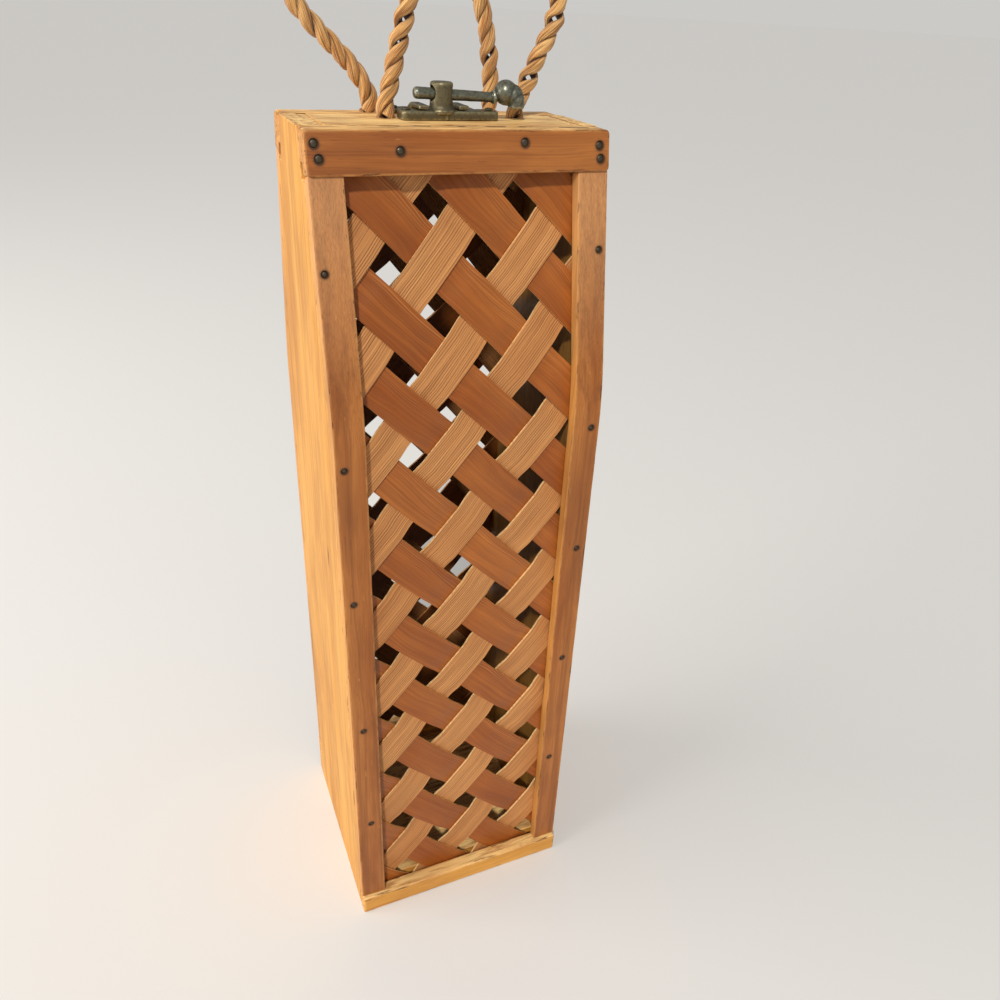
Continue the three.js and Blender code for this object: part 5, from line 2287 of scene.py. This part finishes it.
@dataclass
class Studio:
    """The pale floor, the light and the camera."""

    floor_size: float = 60.0
    floor_colour: Colour = paint("dedddb")
    backdrop: Colour = paint("cbcac7")
    sky: Colour = paint("f2f3f5")
    sky_strength: float = 0.4
    sun_from: Spot = (-0.57, -1.0, 1.1)
    sun_strength: float = 2.15
    sun_angle: float = math.radians(4)
    sun_colour: Colour = (1.0, 0.96, 0.9)
    window_at: Spot = (-1.5, 0.15, 0.75)
    window_size: float = 1.3
    window_power: float = 21.0
    window_colour: Colour = (1.0, 0.95, 0.88)
    window_target: Spot = (0, 0, 0.2)
    camera_at: Spot = (-107.4 * MM, -302.2 * MM, 406.9 * MM)
    camera_turn: Spot = (58.691, -2.986, -22.953)
    lens: float = 29.5
    sensor: float = 36.0
    nearest: float = 10 * MM

    def build(self) -> None:
        """Builds the studio."""
        self._lay_floor()
        self._hang_sky()
        self._lamp("sun", "SUN", Vector(self.sun_from), energy=self.sun_strength, angle=self.sun_angle,
                   color=self.sun_colour)
        window = self._lamp("window", "AREA", Vector(self.window_at) - Vector(self.window_target),
                            shape="SQUARE", size=self.window_size, energy=self.window_power,
                            color=self.window_colour)
        window.location = self.window_at
        self._set_camera()

    def _lay_floor(self) -> None:
        """Lays the pale floor."""
        bm = bmesh.new()
        bmesh.ops.create_grid(bm, x_segments=1, y_segments=1, size=self.floor_size)
        g = Graph("pale_floor")
        g.set(Base_Color=rgba(self.floor_colour), Roughness=0.9, Specular_IOR_Level=0.1)
        dress(bm, "floor", g.material)

    def _hang_sky(self) -> None:
        """Sets an even sky, which the camera sees in the backdrop's colour."""
        world = bpy.data.worlds.new("sky")
        bpy.context.scene.world = world
        world.use_nodes = True
        tree = world.node_tree
        back, seen = tree.nodes["Background"], tree.nodes.new("ShaderNodeBackground")
        for shader, colour, strength in ((back, self.sky, self.sky_strength), (seen, self.backdrop, 1.0)):
            shader.inputs["Color"].default_value = rgba(colour)
            shader.inputs["Strength"].default_value = strength
        path = tree.nodes.new("ShaderNodeLightPath")
        swap = tree.nodes.new("ShaderNodeMixShader")
        for output, entry in ((path.outputs["Is Camera Ray"], swap.inputs["Fac"]),
                              (back.outputs[0], swap.inputs[1]), (seen.outputs[0], swap.inputs[2]),
                              (swap.outputs[0], tree.nodes["World Output"].inputs["Surface"])):
            tree.links.new(output, entry)

    @staticmethod
    def _lamp(name: str, kind: str, way: Vector, **settings) -> Piece:
        """Adds a lamp.

        Args:
            name: Its name.
            kind: Its kind of light.
            way: The direction in which it lies from what it lights.
            **settings: The light's own properties.

        Returns:
            The lamp, at the origin.
        """
        light = bpy.data.lights.new(name, kind)
        for key, value in settings.items():
            setattr(light, key, value)
        lamp = added(name, light)
        lamp.rotation_euler = way.to_track_quat("Z", "Y").to_euler()
        return lamp

    def _set_camera(self) -> None:
        """Sets the camera where the photograph was taken from."""
        lens = bpy.data.cameras.new("camera")
        lens.lens = self.lens
        lens.sensor_width = self.sensor
        lens.clip_start = self.nearest
        camera = added("camera", lens)
        camera.location = self.camera_at
        camera.rotation_euler = [math.radians(angle) for angle in self.camera_turn]
        bpy.context.scene.camera = camera
        bpy.context.scene.view_settings.view_transform = "Standard"


def board_finishes(nailed: Frame) -> dict[tuple[Slot, Grain], Material]:
    """Builds the boards' materials.

    Args:
        nailed: The frame, for the places of its nails.

    Returns:
        The materials by slot and grain.
    """
    softwood = {"light": paint("e9ad50"), "dark": paint("d59434"), "line": paint("96541a"),
                "worn": paint("edb870"), "top": paint("ffd68e")}
    stained = {"light": paint("bf7a3a"), "dark": paint("9c571e"), "line": paint("683412"),
               "worn": paint("c48848"), "top": paint("fcca80"), "flank_share": 0.8}
    knots = ((-54.5 * MM, -20 * MM, 205 * MM), (54.5 * MM, 12 * MM, 120 * MM))
    return {
        (Slot.SOFTWOOD, Grain.UPRIGHT): BoardFinish("golden_upright", **softwood, order=Grain.UPRIGHT,
                                                    knots=knots, inside_share=0.5, line_share=0.35).build(),
        (Slot.SOFTWOOD, Grain.ACROSS): BoardFinish("golden_across", **softwood, order=Grain.ACROSS).build(),
        (Slot.FRAME, Grain.UPRIGHT): BoardFinish(
            "stained_upright", **stained, order=Grain.UPRIGHT, rings_per_metre=210, line_share=0.4,
            nails=nailed.left_nails + nailed.right_nails, nail_head=nailed.batten_nail.head,
            rear_shift=nailed.rear_shift, painted_light_share=0.3).build(),
        (Slot.FRAME, Grain.ACROSS): BoardFinish(
            "stained_across", **stained, order=Grain.ACROSS, rings_per_metre=240, line_share=0.5,
            nails=nailed.rail_nails, nail_head=nailed.rail_nail.head, rear_shift=nailed.rear_shift,
            split=True).build(),
    }


def main() -> None:
    """Builds the carrier's looks and reports each piece."""
    logging.basicConfig(level=logging.INFO, format="%(name)s: %(message)s")
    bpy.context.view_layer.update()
    Studio().build()
    handles = Handles()
    handles.build(RopeFinish().build())
    iron = MetalFinish("nail_iron", paint("5f5546"), paint("463c2e"), paint("241c12"), paint("978a72")).build()
    bronze = MetalFinish("aged_bronze", paint("6c6550"), paint("5a5239"), paint("2a261a"), paint("a09672")).build()
    slid = MetalFinish("handled_bronze", paint("65675c"), paint("43463a"), paint("1f201a"), paint("b7b8a2"),
                       roughness=0.32, patina_share=0.65).build()
    brass = MetalFinish("dull_brass", paint("9a8250"), paint("6f5e3c"), paint("3a3020"), paint("c2a76c")).build()
    nailed = Frame()
    nailed.build(board_finishes(nailed), iron, handles)
    # The smooth strips' pale comb lines are painted glints along one side of each strip.
    smooth = StripFinish("smooth_veneer", paint("b46a2a"), paint("92480f"), paint("642c0a"), paint("d69a58"),
                         lines_per_metre=420, line_share=0.32, relief=0.08 * MM, roughness=0.4,
                         figure=12 * MM, comb_line_and_glint=paint("d08a4c"), combs_per_metre=1300, comb_line_and_glint_share=0.4,
                         comb_from=0.55).build()
    ridged = StripFinish("ridged_veneer", paint("e8a866"), paint("c68347"), paint("8a4e22"), paint("f2c88c"),
                         lines_per_metre=1150, line_share=0.4, relief=0.16 * MM, roughness=0.6,
                         figure=3 * MM, comb_line_and_glint=paint("74401c"), combs_per_metre=1080, comb_line_and_glint_share=0.66,
                         comb_from=-0.4).build()
    veneers = {False: smooth, True: ridged}
    foot_rail, foot_tuck, door_gap, door_rail = 10.5 * MM, 6 * MM, 0.5 * MM, 16 * MM

    def front_node(rising: bool, count: int) -> str:
        """The frame node that a strip of the front stands for."""
        return f"front_{'rising' if rising else 'falling'}_strip_{count}"

    def door_node(rising: bool, count: int) -> str | None:
        """The frame node that the door's first strip stands for."""
        return "door_weave" if not rising and count == 1 else None

    WovenPanel("front", Body.CASE, foot_rail - foot_tuck, False, front_node).build(veneers)
    WovenPanel("door", Body.DOOR, foot_rail + door_gap + door_rail - foot_tuck, True, door_node,
               opening_across=-0.2047, opening_below_top=0.0755, seed=23).build(veneers)
    Latch().build(bronze, slid)
    Hinges().build(brass)


if __name__ == "__main__":
    main()
